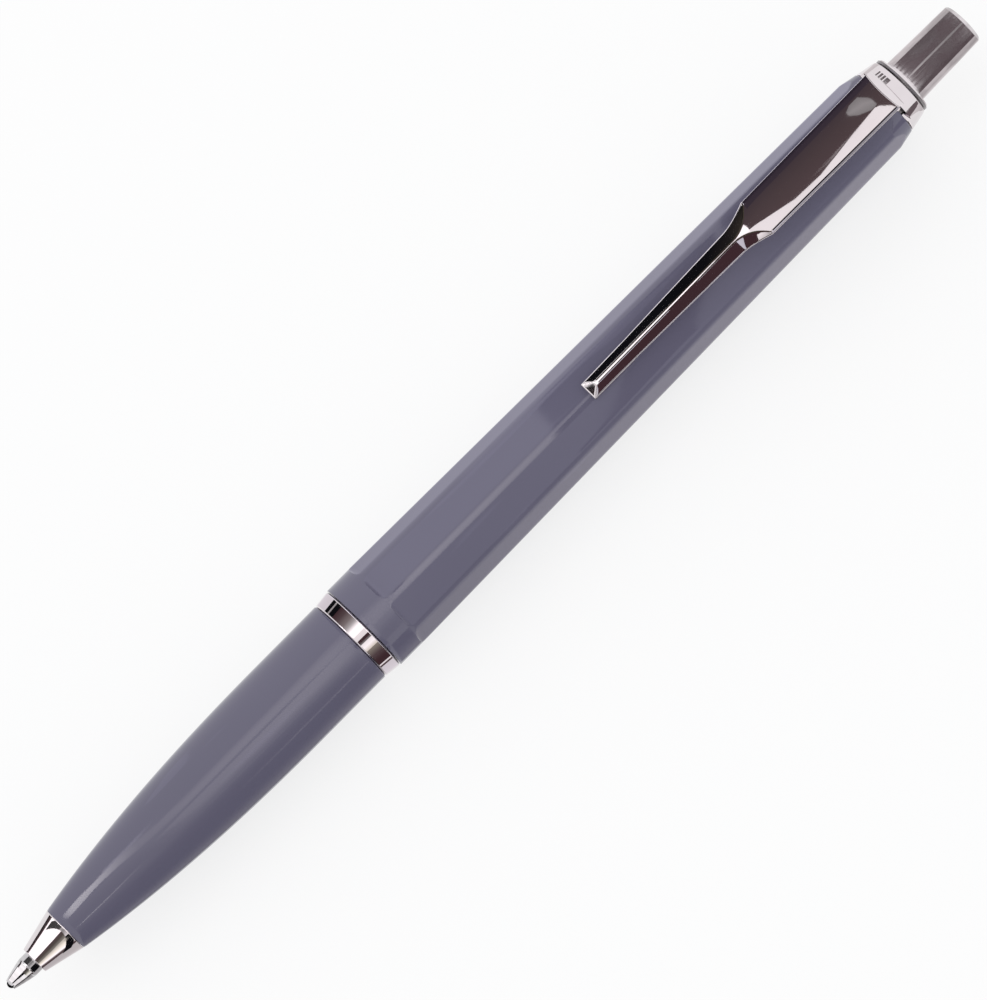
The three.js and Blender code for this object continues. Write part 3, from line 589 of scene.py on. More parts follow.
def eight_sided_loop(sizes, along, limit):
    """Points round the upper barrel: flats with rounded corners, held within a round limit."""
    apothem = flats_apothem(sizes, along)
    corner = sizes.corner_radius
    centre = (apothem - corner) / math.cos(HALF_SIDE)
    half_flat = (apothem - corner) * math.tan(HALF_SIDE)
    points = []
    for side in range(SIDES):
        facing = 2 * HALF_SIDE * side
        for offset in spread(-half_flat, half_flat, 9)[:-1]:
            points.append((
                apothem * math.sin(facing) + offset * math.cos(facing),
                apothem * math.cos(facing) - offset * math.sin(facing),
            ))
        middle = facing + HALF_SIDE
        for turn in spread(-HALF_SIDE, HALF_SIDE, 12)[:-1]:
            points.append((
                centre * math.sin(middle) + corner * math.sin(middle + turn),
                centre * math.cos(middle) + corner * math.cos(middle + turn),
            ))
    loop = []
    for across, up in points:
        reach = math.hypot(across, up)
        held = min(1.0, limit / reach)
        loop.append(round_point(along, reach * held, math.atan2(across, up)))
    return loop


class PEN_OT_upper_barrel(bpy.types.Operator):
    """Build the eight-sided upper barrel with its collar and coned end"""

    bl_idname = "pen.upper_barrel"
    bl_label = "Upper Barrel"

    def execute(self, context):
        sizes = context.scene.pen_sizes
        start, end = ends("upper_barrel")
        collar = sizes.collar_width / 2
        flats_start = start + COLLAR_LENGTH
        cone_start = end - 2.0 * MM
        end_radius = 3.97 * MM
        cone_radius = flats_apothem(sizes, cone_start) - sizes.corner_radius
        cone_radius = cone_radius / math.cos(HALF_SIDE) + sizes.corner_radius
        edge = 0.06 * MM

        def limit(along):
            if along < start + edge:
                return collar - edge + math.sqrt(max(0, edge**2 - (start + edge - along) ** 2))
            if along > end - edge:
                return end_radius - (along - end + edge)
            share = (along - cone_start) / (end - cone_start)
            return min(collar, cone_radius + (end_radius - cone_radius) * share)

        rows = spread(start, start + edge, 4)[:-1] + spread(start + edge, flats_start, 6)[:-1]
        rows += spread(flats_start - 0.1 * MM, flats_start + 0.9 * MM, 32)[:-1]
        rows += spread(flats_start + 0.9 * MM, cone_start - 0.3 * MM, 96)[:-1]
        rows += spread(cone_start - 0.3 * MM, end - edge, 44) + [end]
        rings = [eight_sided_loop(sizes, along, limit(along)) for along in rows]
        throat_start, socket_end, chamber = end - 8.0 * MM, start + 9.3 * MM, 3.45 * MM
        bore = [
            (end, THROAT_RADIUS), (throat_start, THROAT_RADIUS), (throat_start, chamber),
            (socket_end, chamber), (socket_end, SOCKET_RADIUS), (start, SOCKET_RADIUS),
        ]
        angles = [math.atan2(-p.y, p.z - AXIS_HEIGHT) for p in rings[-1]]
        for along, radius in bore:
            rings.append([round_point(along, radius, angle) for angle in angles])
        vertices, faces = skin(rings, closed_ends=False)
        barrel = object_from("upper_barrel_shell", vertices, faces, crease=14)
        notch = clip_block("notch", TONGUE_NOTCH, end - 2.4 * MM, end + 1 * MM,
                           2.9 * MM, 6.0 * MM)
        cut_away(barrel, notch)
        shade(barrel.data, 14)
        set_in_place(barrel, finish_named("grey_violet_moulding"), "barrel",
                     "barrel_plastic", "upper_barrel")
        return {"FINISHED"}


class PEN_OT_lower_barrel(bpy.types.Operator):
    """Build the round, swelling lower barrel with its screwed spigot"""

    bl_idname = "pen.lower_barrel"
    bl_label = "Lower Barrel"

    def execute(self, context):
        sizes = context.scene.pen_sizes
        start, spigot_end = ends("lower_barrel")
        end = ends("center_ring")[0] - 0.03 * MM
        front, full = sizes.lower_front_width / 2, sizes.lower_width / 2
        handles = (
            Vector((start, front)),
            Vector((start + 13.5 * MM, full)),
            Vector((start + 31.4 * MM, full)),
        )
        swell = [
            handles[0].lerp(handles[1], t).lerp(handles[1].lerp(handles[2], t), t)
            for t in spread(0, 1, 72)
        ]
        edge = 0.05 * MM
        outline = [(start, front - edge), (start + edge / 2, front - edge / 3)]
        outline += [(p.x, p.y) for p in swell[1:]]
        outline += [(along, full) for along in spread(handles[2].x, end - edge, 8)[1:]]
        spigot, bore, spring_room, nose_hole = 4.02 * MM, 3.15 * MM, 2.45 * MM, 2.17 * MM
        outline += [
            (end - edge / 3, full - edge / 3), (end, full - edge), (end, spigot),
            (spigot_end - 0.4 * MM, spigot), (spigot_end, 3.62 * MM),
            (spigot_end, bore), (start + 12.8 * MM, bore),
            (start + 12.1 * MM, spring_room), (start + 3.6 * MM, spring_room),
            (start + 3.6 * MM, nose_hole), (start, nose_hole),
        ]
        barrel = turned("lower_barrel_shell", outline, segments=160, crease=20)
        set_in_place(barrel, finish_named("grey_violet_moulding"), "barrel",
                     "barrel_plastic", "lower_barrel")
        return {"FINISHED"}


class PEN_OT_centre_ring(bpy.types.Operator):
    """Build the chrome ring between the barrels, with a bevel on both edges"""

    bl_idname = "pen.centre_ring"
    bl_label = "Centre Ring"

    def execute(self, context):
        start, end = ends("center_ring")
        bevel = 0.16 * MM
        front, rear = 4.95 * MM, 5.13 * MM
        hidden = 4.3 * MM
        outline = rounded([
            (start, hidden), (start, front - bevel), (start + bevel, front),
            (end - bevel, rear), (end, rear - bevel), (end, hidden),
        ], 0.05 * MM)
        outline += [(end, SOCKET_RADIUS), (start, SOCKET_RADIUS)]
        ring = turned("centre_ring_band", outline, segments=160, crease=35)
        set_in_place(ring, finish_named("bright_chrome"), "barrel", "chrome", "center_ring")
        return {"FINISHED"}


class PEN_OT_nose_cone(bpy.types.Operator):
    """Build the chrome cone at the front of the lower barrel"""

    bl_idname = "pen.nose_cone"
    bl_label = "Nose Cone"

    def execute(self, context):
        start, spigot_end = ends("nose_cone")
        end = ends("lower_barrel")[0] - 0.03 * MM
        spigot, bore, mouth = 2.1 * MM, 1.63 * MM, 1.26 * MM
        outline = rounded([
            (start, 1.3 * MM), (start, 1.55 * MM), (end, 2.6 * MM), (end, 2.2 * MM),
        ], 0.06 * MM)
        outline += [
            (end, spigot), (spigot_end, spigot), (spigot_end, bore), (start + 5.0 * MM, bore),
            (start + 5.0 * MM, mouth), (start + 0.05 * MM, mouth),
        ]
        cone = turned("nose_cone_shell", outline, segments=128, crease=35)
        set_in_place(cone, finish_named("bright_chrome"), "barrel", "chrome", "nose_cone")
        return {"FINISHED"}


class PEN_OT_refill_point(bpy.types.Operator):
    """Build the refill's metal point and the ball in it"""

    bl_idname = "pen.refill_point"
    bl_label = "Refill Point and Ball"

    def execute(self, context):
        low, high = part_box("writing_ball")
        radius = (high.x - low.x) / 2
        form = bmesh.new()
        bmesh.ops.create_icosphere(form, subdivisions=5, radius=radius)
        bmesh.ops.translate(form, verts=form.verts, vec=(low + high) / 2)
        mesh = bpy.data.meshes.new("ball")
        form.to_mesh(mesh)
        form.free()
        shade(mesh, 60)
        ball = new_object("writing_ball_polished", mesh)
        set_in_place(ball, finish_named("polished_steel"), "ball", "steel", "writing_ball")

        start, end = ends("refill_point")
        neck, neck_end, tail, bore = 1.18 * MM, 9.9 * MM, 1.08 * MM, 0.35 * MM
        outline = rounded([
            (start + 0.12 * MM, 0.53 * MM), (start, 0.58 * MM), (start + 0.25 * MM, 0.66 * MM),
            (start + 1.05 * MM, 0.87 * MM), (start + 1.75 * MM, 1.04 * MM),
            (start + 2.35 * MM, 1.16 * MM), (start + 2.52 * MM, neck), (neck_end, neck),
        ], 0.08 * MM)
        outline += [
            (neck_end, tail), (end, tail), (end, bore), (0.93 * MM, bore),
            (0.8 * MM, 0.46 * MM), (0.6 * MM, 0.54 * MM), (0.45 * MM, 0.545 * MM),
        ]
        point = turned("refill_point_turned", outline, segments=96, crease=25)
        set_in_place(point, finish_named("polished_steel"), "refill", "steel", "refill_point")
        return {"FINISHED"}


class PEN_OT_crown(bpy.types.Operator):
    """Build the coned crown, notched for the clip, and the thin flange above it"""

    bl_idname = "pen.crown"
    bl_label = "Crown and Flange"

    def execute(self, context):
        start, end = ends("crown")
        outline = rounded([
            (start, 3.2 * MM), (start, 3.95 * MM), (end - 0.5 * MM, 3.62 * MM),
            (end - 0.12 * MM, 3.52 * MM), (end, 3.4 * MM), (end, 3.2 * MM),
        ], 0.12 * MM)
        outline += [(end, THROAT_RADIUS), (start, THROAT_RADIUS)]
        crown = turned("crown_ring", outline, segments=144, crease=35)
        passage = clip_block("passage", TONGUE_NOTCH, start - 1 * MM, start + 0.7 * MM,
                             2 * MM, 6 * MM)
        cut_away(crown, passage)
        notch = clip_block("notch", 6.6 * MM, start - 1 * MM, start + 0.4 * MM, 1.9 * MM, 6 * MM)
        cut_away(crown, notch)
        set_in_place(crown, finish_named("bright_chrome"), "barrel", "chrome", "crown")

        shank, top = ends("mechanism_bush")
        flange = top - 0.42 * MM
        lip = top - 0.14 * MM
        bore, shank_radius, rim = 2.66 * MM, 3.0 * MM, 3.41 * MM
        outline = [(shank, shank_radius), (flange, shank_radius)] + rounded([
            (flange, 3.05 * MM), (flange, rim), (lip, rim), (lip, 3.05 * MM),
        ], 0.05 * MM)
        outline += [(lip, bore), (shank, bore)]
        bush = turned("mechanism_bush_flange", outline, segments=144, crease=30)
        set_in_place(bush, finish_named("darkened_plating"), "barrel", "chrome", "mechanism_bush")
        outline = [(lip, bore), (lip, 3.37 * MM), (top, 3.3 * MM), (top, bore)]
        bright = turned("mechanism_bush_lip", outline, segments=144, crease=30)
        set_in_place(bright, finish_named("bright_chrome"), "barrel", "chrome")
        return {"FINISHED"}


class PEN_OT_push_button(bpy.types.Operator):
    """Build the drawn chrome cup of the button"""

    bl_idname = "pen.push_button"
    bl_label = "Push Button"

    def execute(self, context):
        start, end = ends("push_button")
        radius, bore, floor = 2.57 * MM, 1.99 * MM, end - 0.7 * MM
        outside = rounded([
            (start, 2.2 * MM), (start, radius), (end - 8.68 * MM, radius),
            (end - 0.05 * MM, 2.38 * MM), (end, 1.6 * MM), (end, 0.4 * MM),
        ], 0.34 * MM, 8)
        outline = [(end, 0.0), *reversed(outside), (start, bore), (floor, bore), (floor, 0.0)]
        button = turned("push_button_cup", outline, segments=128, crease=35)
        set_in_place(button, finish_named("thumbed_chrome"), "button", "chrome", "push_button")
        return {"FINISHED"}


class ClipForm:
    """The clip's outer surface, as sections across it and columns along it."""

    def __init__(self, sizes):
        self.start, self.end = ends("clip")
        self.foot_end = self.start + 5.6 * MM
        self.plate_start = self.end - 18.7 * MM
        self.neck = self.plate_start - 3.35 * MM
        self.hip = 1.06 * MM
        self.bend = 0.75 * MM
        self.rear = self.end - self.bend
        self.plate_top = 7.2 * MM
        self.foot_top = 5.91 * MM
        self.foot_bottom = 4.96 * MM
        self.plate_half = sizes.plate_width / 2
        self.arm_half = 1.43 * MM
        self.foot_half = 1.08 * MM
        self.tip_half = 1.0 * MM

    def ridge(self, along):
        """The height of the ridge, or of the flat plate, before the foot's end is sloped."""
        steep = (self.plate_top - self.foot_top) / (self.plate_start - self.start)
        left, ease = self.plate_start - along, 3.0 * MM
        if abs(left) < ease:
            return self.plate_top - steep * (left + ease) ** 2 / (4 * ease)
        return self.plate_top - steep * max(0.0, left)

    def hip_share(self, along):
        """Nought at the foot's end, and one where its end slope has reached the ridge."""
        return min(1.0, (along - self.start) / self.hip)

    def top(self, along):
        return self.ridge(along) - self.slope_depth(along) * (1 - self.hip_share(along))

    def half_width(self, along):
        if along < self.foot_end:
            share = (along - self.start) / (self.foot_end - self.start)
            return self.tip_half + (self.foot_half - self.tip_half) * share
        if along < self.neck:
            share = (along - self.foot_end) / (self.neck - self.foot_end)
            return self.foot_half + (self.arm_half - self.foot_half) * share
        front = self.plate_half - 0.15 * MM
        if along < self.plate_start:
            share = (along - self.neck) / (self.plate_start - self.neck)
            rise = (1 - math.cos(share * math.pi / 2)) * 0.75 + share * 0.25
            return self.arm_half + (front - self.arm_half) * rise
        share = (along - self.plate_start) / (self.rear - self.plate_start)
        return front + (self.plate_half - front) * share

    def ridge_half(self, along):
        """Half the width of the narrow flat along the ridge, which widens to the foot."""
        return (0.1 + 0.08 * max(0.0, (self.neck - along) / (self.neck - self.start))) * MM

    def flat_half(self, along):
        """Half the width of the flat top, which narrows in an arch to the ridge."""
        ridge = self.ridge_half(along)
        if along < self.neck:
            open_half = self.half_width(along) - 0.12 * MM
            return ridge + (open_half - ridge) * (1 - self.hip_share(along))
        wide = self.half_width(along) - 0.27 * MM
        if along >= self.plate_start:
            return wide
        share = (along - self.neck) / (self.plate_start - self.neck)
        return ridge + (wide - ridge) * share**1.7

    def slope(self, along):
        """How far the edges lie below the top."""
        return max(0.03 * MM, self.slope_depth(along) * self.hip_share(along))

    def slope_depth(self, along):
        """How far the edges lie below the ridge."""
        if along < self.neck:
            return 0.62 * MM
        share = min(1.0, (along - self.neck) / (self.plate_start - self.neck))
        return (0.62 - 0.52 * share**1.5) * MM

    def wall_bottom(self, along):
        if along < self.foot_end:
            return self.foot_bottom
        wall = 0.32 * MM
        if along > self.neck:
            share = min(1.0, (along - self.neck) / (self.plate_start - self.neck))
            wall += 0.72 * MM * share
        step = max(0.0, 1 - (along - self.foot_end) / (0.25 * MM))
        return self.top(along) - self.slope(along) - wall - 0.12 * MM * step

    def crowning(self, across, along):
        """The plate's middle stands a little above its edges."""
        share = min(1.0, max(0.0, (along - self.neck) / (self.plate_start - self.neck)))
        share *= share * (3 - 2 * share)
        half = self.half_width(along)
        return -0.14 * MM * share * (across / half) ** 2

    def bend_start(self, across):
        """Where the rear bend starts; the plate's rear edge bows towards the tip."""
        return self.rear - 0.28 * MM * (1 - (across / self.plate_half) ** 2)

    def bend_end(self, across):
        """Where the rear bend ends, a little rounded towards the sides."""
        return self.end - 0.12 * MM * (across / self.plate_half) ** 2

    def rows(self):
        """The places of the sections, closer together where the form changes."""
        places = spread(self.start, self.start + self.hip, 10)[:-1]
        places += spread(self.start + self.hip, self.foot_end - 0.02 * MM, 12)
        places += spread(self.foot_end + 0.02 * MM, self.foot_end + 0.3 * MM, 4)[:-1]
        places += spread(self.foot_end + 0.3 * MM, self.neck - 0.2 * MM, 30)[:-1]
        places += spread(self.neck - 0.2 * MM, self.plate_start + 0.3 * MM, 44)[:-1]
        places += spread(self.plate_start + 0.3 * MM, self.rear - 0.5 * MM, 36)
        return places


def fixed_count_section(form, along):
    """A clip section with the same number of points at every place."""
    half, flat = form.half_width(along), form.flat_half(along)
    top = form.top(along)
    edge, bottom = top - form.slope(along), form.wall_bottom(along)
    splay = 0.1 * MM if along < form.foot_end else 0.0
    corners = [
        (-half - splay, bottom, 0), (-half, edge, 0), (-flat, top, 0),
        (flat, top, 0), (half, edge, 0), (half + splay, bottom, 0),
    ]
    line = softened(corners, 0.12 * MM, 5)
    # Five straight stretches lie between the curves: wall, slope, top, slope, wall.
    result = []
    straight = {0: 3, 8: 5, 16: 9, 24: 5, 32: 3}
    for i, (here, there) in enumerate(zip(line, line[1:])):
        steps = straight.get(i, 1)
        result += [here.lerp(there, t) for t in spread(0, 1, steps)[:-1]]
    result.append(line[-1])
    for point in result:
        point.y += form.crowning(point.x, along)
    return result


class PEN_OT_clip(bpy.types.Operator):
    """Build the clip from one pressed sheet: foot, ridged arm, shoulders, plate and bent end"""

    bl_idname = "pen.clip"
    bl_label = "Clip"

    def outer_skin(self, form):
        """The sheet's outer skin: its vertices, its faces and the number of a face on the plate."""
        places = form.rows()
        rows = [
            [clip_point(p.x, along, p.y) for p in fixed_count_section(form, along)]
            for along in places
        ]
        count, begin = len(rows[0]), places[-1]
        last = fixed_count_section(form, form.rear)
        for share in spread(0, 1, 5)[1:]:
            rows.append([
                clip_point(p.x, begin + (form.bend_start(p.x) - begin) * share, p.y) for p in last
            ])
        vertices = [point for row in rows for point in row]
        faces = [
            (a, a + 1, a + 1 + count, a + count)
            for r in range(len(rows) - 1)
            for a in range(r * count, (r + 1) * count - 1)
        ]
        # Only the top goes on round the bend and down into the crown, without the side walls.
        wall_points, bend_steps, drop_steps = 8, 10, 4
        floor, tongue_share = 3.2 * MM, 1.4 * MM / form.plate_half
        kept = range(wall_points, count - wall_points)
        base = (len(rows) - 1) * count
        before = [base + c for c in kept]
        for level in range(1, bend_steps + drop_steps + 1):
            new = []
            for p in (last[c] for c in kept):
                start_along = form.bend_start(p.x)
                if level <= bend_steps:
                    angle = math.pi / 2 * level / bend_steps
                    along = start_along + (form.bend_end(p.x) - start_along) * math.sin(angle)
                    away = p.y - form.bend * (1 - math.cos(angle))
                    across = p.x
                else:
                    share = (level - bend_steps) / drop_steps
                    along = form.bend_end(p.x)
                    away = p.y - form.bend + (floor - (p.y - form.bend)) * share
                    across = p.x * (1 + (tongue_share - 1) * min(1.0, share * 2.2))
                new.append(len(vertices))
                vertices.append(clip_point(across, along, away))
            for i in range(len(new) - 1):
                faces.append((before[i], before[i + 1], new[i + 1], new[i]))
            before = new
        return vertices, faces, (len(places) - 2) * (count - 1) + count // 2

    def execute(self, context):
        sizes = context.scene.pen_sizes
        form = ClipForm(sizes)
        vertices, faces, plate_face = self.outer_skin(form)
        mesh = bpy.data.meshes.new("clip_sheet")
        mesh.from_pydata([tuple(v) for v in vertices], [], faces)
        shade(mesh, 40)
        clip = new_object("clip_pressed", mesh)
        outward = clip_point(0, 0, 1) - clip_point(0, 0, 0)
        if mesh.polygons[plate_face].normal.dot(outward) < 0:
            mesh.flip_normals()
        wall = clip.modifiers.new("sheet", "SOLIDIFY")
        wall.thickness = sizes.sheet
        wall.offset = -1
        wall.use_even_offset = True
        edge = clip.modifiers.new("edges", "BEVEL")
        edge.width = 0.04 * MM
        edge.segments = 2
        edge.limit_method = "ANGLE"
        edge.angle_limit = math.radians(50)
        applied(clip)
        shade(clip.data, 35)
        set_in_place(clip, finish_named("bright_chrome"), "clip", "chrome", "clip")
        return {"FINISHED"}


def coil_tree(name):
    """A node tree that winds a round wire along the pen, from named sizes."""
    tree = bpy.data.node_groups.new(name, "GeometryNodeTree")
    tree.interface.new_socket("Geometry", in_out="OUTPUT", socket_type="NodeSocketGeometry")
    inputs = {
        "Turns": "NodeSocketFloat", "Radius": "NodeSocketFloat", "Length": "NodeSocketFloat",
        "Wire": "NodeSocketFloat", "Start": "NodeSocketVector", "Finish": "NodeSocketMaterial",
    }
    for label, kind in inputs.items():
        tree.interface.new_socket(label, in_out="INPUT", socket_type=kind)
    given, result = tree.nodes.new("NodeGroupInput"), tree.nodes.new("NodeGroupOutput")
    spiral = tree.nodes.new("GeometryNodeCurveSpiral")
    spiral.inputs["Resolution"].default_value = 48
    wire = tree.nodes.new("GeometryNodeCurvePrimitiveCircle")
    wire.inputs["Resolution"].default_value = 14
    wound = tree.nodes.new("GeometryNodeCurveToMesh")
    wound.inputs["Fill Caps"].default_value = True
    laid = tree.nodes.new("GeometryNodeTransform")
    laid.inputs["Rotation"].default_value = (0, math.pi / 2, 0)
    smooth = tree.nodes.new("GeometryNodeSetShadeSmooth")
    real = tree.nodes.new("GeometryNodeRealizeInstances")
    painted = tree.nodes.new("GeometryNodeSetMaterial")
    for source, output, target, socket in (
        (given, "Turns", spiral, "Rotations"),
        (given, "Radius", spiral, "Start Radius"),
        (given, "Radius", spiral, "End Radius"),
        (given, "Length", spiral, "Height"),
        (given, "Wire", wire, "Radius"),
        (spiral, "Curve", wound, "Curve"),
        (wire, "Curve", wound, "Profile Curve"),
        (given, "Start", laid, "Translation"),
        (wound, "Mesh", laid, "Geometry"),
        (laid, "Geometry", smooth, "Geometry"),
        (smooth, "Geometry", real, "Geometry"),
        (real, "Geometry", painted, "Geometry"),
        (given, "Finish", painted, "Material"),
        (painted, "Geometry", result, "Geometry"),
    ):
        tree.links.new(source.outputs[output], target.inputs[socket])
    return tree


def wound_piece(name, values):
    """A coil made by the node tree and turned into a plain mesh."""
    tree = bpy.data.node_groups.get("wound_wire") or coil_tree("wound_wire")
    mesh = bpy.data.meshes.new(name)
    piece = new_object(name, mesh)
    step = piece.modifiers.new("winding", "NODES")
    step.node_group = tree
    sockets = {s.name: s.identifier for s in tree.interface.items_tree if s.in_out == "INPUT"}
    for label, value in values.items():
        step[sockets[label]] = value
    applied(piece)
    return piece


class PEN_OT_windings(bpy.types.Operator):
    """Wind the return spring and the thread of the lower barrel's spigot"""

    bl_idname = "pen.windings"
    bl_label = "Spring and Thread"

    def execute(self, context):
        sizes = context.scene.pen_sizes
        low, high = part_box("return_spring")
        wire = 0.2 * MM
        spring = wound_piece("return_spring_coil", {
            "Turns": float(sizes.spring_turns),
            "Radius": (high.z - low.z) / 2 - wire,
            "Length": high.x - low.x - 2 * wire,
            "Wire": wire,
            "Start": (low.x + wire, 0, AXIS_HEIGHT),
            "Finish": finish_named("drawn_steel"),
        })
        shade(spring.data, 50)
        set_in_place(spring, finish_named("drawn_steel"), "barrel", "steel", "return_spring")

        ring_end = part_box("center_ring")[1].x
        barrel_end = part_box("lower_barrel")[1].x
        thread = wound_piece("spigot_thread", {
            "Turns": 5.0,
            "Radius": 3.98 * MM,
            "Length": barrel_end - ring_end - 2.0 * MM,
            "Wire": 0.1 * MM,
            "Start": (ring_end + 1.0 * MM, 0, AXIS_HEIGHT),
            "Finish": finish_named("grey_violet_moulding"),
        })
        shade(thread.data, 50)
        set_in_place(thread, finish_named("grey_violet_moulding"), "barrel", "barrel_plastic")
        return {"FINISHED"}


class PEN_OT_inner_pieces(bpy.types.Operator):
    """Give the refill and the cam mechanism their materials"""

    bl_idname = "pen.inner_pieces"
    bl_label = "Inner Pieces"

    def execute(self, context):
        finishes = {
            "refill_tube": "drawn_steel",
            "refill_plug": "pale_moulding",
            "ink_column": "wet_ink",
            "cam_sleeve": "pale_moulding",
            "plunger": "pale_moulding",
            "rotor_cam": "dark_moulding",
        }
        for node, name in finishes.items():
            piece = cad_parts[node]
            piece.data.materials.clear()
            piece.data.materials.append(finish_named(name))
        return {"FINISHED"}


# Stage

TABLE_WHITENESS = 0.78  # how much of the table is seen as plain white
CARD_REACH = 150.0  # from the surface that mirrors a card to the card, in millimetres
NEAR = 30.0  # the same for small cards, which farther away would show in other pieces too
GAP = 0.5  # between two cards that overlap, so that the right one is in front
LOW_REACH = 60.0  # for cards that are seen in the pen's right side and lie on the table
CARD_FLOOR = min(0.0, CAD_BOX[0].z) + 0.25 * MM  # cards that would reach lower lie on the table

BLACK = (0.006, 0.006, 0.008)
BROWN = (0.104, 0.073, 0.078)
MAROON = (0.058, 0.029, 0.035)
OLIVE = (0.07, 0.06, 0.045)
CREAM_TINT = (1, 0.95, 0.84)
COOL_TINT = (1, 0.98, 1.1)


def seen_directly(tree):
    """One for the camera's rays and for those of gloss and glass, nought for the rest."""
    path = tree.nodes.new("ShaderNodeLightPath").outputs
    seen = add_math(tree, "MAXIMUM", path["Is Camera Ray"], path["Is Glossy Ray"])
    return add_math(tree, "MAXIMUM", seen, path["Is Transmission Ray"])


def mix_shaders(tree, share, first, second, target):
    """Mixes two shaders by a share and leads them to the target node."""
    mix = tree.nodes.new("ShaderNodeMixShader")
    tree.links.new(share, mix.inputs["Fac"])
    tree.links.new(first.outputs[0], mix.inputs[1])
    tree.links.new(second.outputs[0], mix.inputs[2])
    tree.links.new(mix.outputs[0], tree.nodes[target].inputs["Surface"])


def bare_material(name):
    """A material with nothing but its output, and its node tree."""
    material = bpy.data.materials.new(name)
    material.use_nodes = True
    tree = material.node_tree
    tree.nodes.remove(tree.nodes["Principled BSDF"])
    return material, tree


def table_material(colour):
    """A pale matt table, which looks nearly white and keeps the pen's shadow."""
    material, tree = bare_material("pale_table")
    matt = tree.nodes.new("ShaderNodeBsdfDiffuse")
    matt.inputs["Color"].default_value = (*colour, 1)
    white = tree.nodes.new("ShaderNodeEmission")
    white.inputs["Strength"].default_value = 1.0
    share = add_math(tree, "MULTIPLY", seen_directly(tree), TABLE_WHITENESS)
    mix_shaders(tree, share, matt, white, "Material Output")
    return material


def card_material():
    """Glow in the colours that a card's corners carry, which shows only in reflections and paints them.
    """
    material, tree = bare_material("painted_reflection_card")
    shade_of = tree.nodes.new("ShaderNodeAttribute")
    shade_of.attribute_name = "glow"
    light = tree.nodes.new("ShaderNodeEmission")
    tree.links.new(shade_of.outputs["Color"], light.inputs["Color"])
    tree.links.new(light.outputs[0], tree.nodes["Material Output"].inputs["Surface"])
    return material


def tone(level, tint=(1.0, 0.96, 0.97)):
    """A light of this level and tint."""
    return [level * part for part in tint]


class Cards:
    """Cards that paint reflections: glowing sheets, each hung where the camera sees it mirrored in a
    chosen part of the pen.
    """

    def __init__(self, eye, lean):
        self.eye, self.lean = eye, lean
        self.material = card_material()

    def level(self, share):
        """The angle of a round surface at this share of its width, from left to right."""
        return math.degrees(self.lean + math.asin(2 * share - 1))

    def hang(self, name, form, stations, colours, reach=CARD_REACH, steps=8):
        """Hangs a card over stations (along, low angle, high angle, strength) of a surface.

        A station may leave out its strength, which is then one. The form says how the surface
        runs: rows (along, across, height, radius, slope) give the centre that it is rounded
        about, in the clip's own frame, its radius and how many degrees it leans to the rear. The
        colours run from the low to the high angle, and a plain number is a light of that level.
        """
        stations = [(*station, 1)[:4] for station in stations]
        hues = [Vector(tone(hue) if isinstance(hue, (int, float)) else hue) for hue in colours]
        rows = []
        for here, there in zip(stations, stations[1:]):
            for t in spread(0, 1, steps)[:-1]:
                rows.append([a + (b - a) * t for a, b in zip(here, there)])
        rows.append(stations[-1])
        vertices, glows = [], []
        for along, low, high, strength in rows:
            across, height, radius, slope = form_at(form, along)
            lean = math.radians(slope)
            centre = clip_point(across * MM, along * MM, height * MM)
            for s in spread(0, 1, steps):
                facing = round_point(0, 1, math.radians(low + (high - low) * s))
                facing -= round_point(0, 0, 0)
                outward = facing * math.cos(lean)
                outward.x += math.sin(lean)
                point = centre + facing * radius * MM
                ray = (point - self.eye).normalized()
                gleam = ray - 2 * ray.dot(outward) * outward
                far = reach * MM
                if gleam.z < 0:
                    far = min(far, (point.z - CARD_FLOOR) / -gleam.z)
                vertices.append(point + gleam * far)
                at = s * (len(hues) - 1)
                index = min(int(at), len(hues) - 2)
                glow = hues[index].lerp(hues[index + 1], at - index) * strength
                glows.append((*glow, 1.0))
        wide = steps + 1
        faces = [
            (a, a + 1, a + wide + 1, a + wide)
            for i in range(len(rows) - 1)
            for a in range(i * wide, i * wide + steps)
        ]
        self.put_up(name, vertices, faces, glows)

    def put_up(self, name, vertices, faces, glows):
        """A card that shines on glossy surfaces only and that the camera doesn't see."""
        mesh = bpy.data.meshes.new(name)
        mesh.from_pydata([tuple(v) for v in vertices], [], faces)
        glow = mesh.attributes.new("glow", "FLOAT_COLOR", "POINT")
        glow.data.foreach_set("color", [part for value in glows for part in value])
        mesh.materials.append(self.material)
        card = new_object(name, mesh)
        card.visible_camera = False
        card.visible_diffuse = False
        card.visible_shadow = False
        card.visible_transmission = False
        card.visible_volume_scatter = False

    def band(self, name, form, places, shares, colours, reach=CARD_REACH):
        """A card over a turned surface: shares (low, high, strength) of its width at each place.

        A single (low, high) holds at every place.
        """
        if isinstance(shares[0], (int, float)):
            shares = [shares] * len(places)
        stations = [
            (along, self.level(low), self.level(high), *strength)
            for along, (low, high, *strength) in zip(places, shares)
        ]
        self.hang(name, form, stations, colours, reach)

    def bands(self, form, places, reach, rows):
        """Several cards over one surface, from rows (name, shares, colours)."""
        for name, shares, colours in rows:
            self.band(name, form, places, shares, colours, reach)


def form_at(form, along):
    """The centre, radius and slope of a form's surface at a place along the pen."""
    if along <= form[0][0]:
        return form[0][1:]
    for here, there in zip(form, form[1:]):
        if along <= there[0]:
            t = (along - here[0]) / (there[0] - here[0])
            return [a + (b - a) * t for a, b in zip(here[1:], there[1:])]
    return form[-1][1:]


def turned_form(*rows):
    """A surface turned round the pen's axis, from rows (along, radius, slope)."""
    return [(along, 0.0, 0.0, radius, slope) for along, radius, slope in rows]


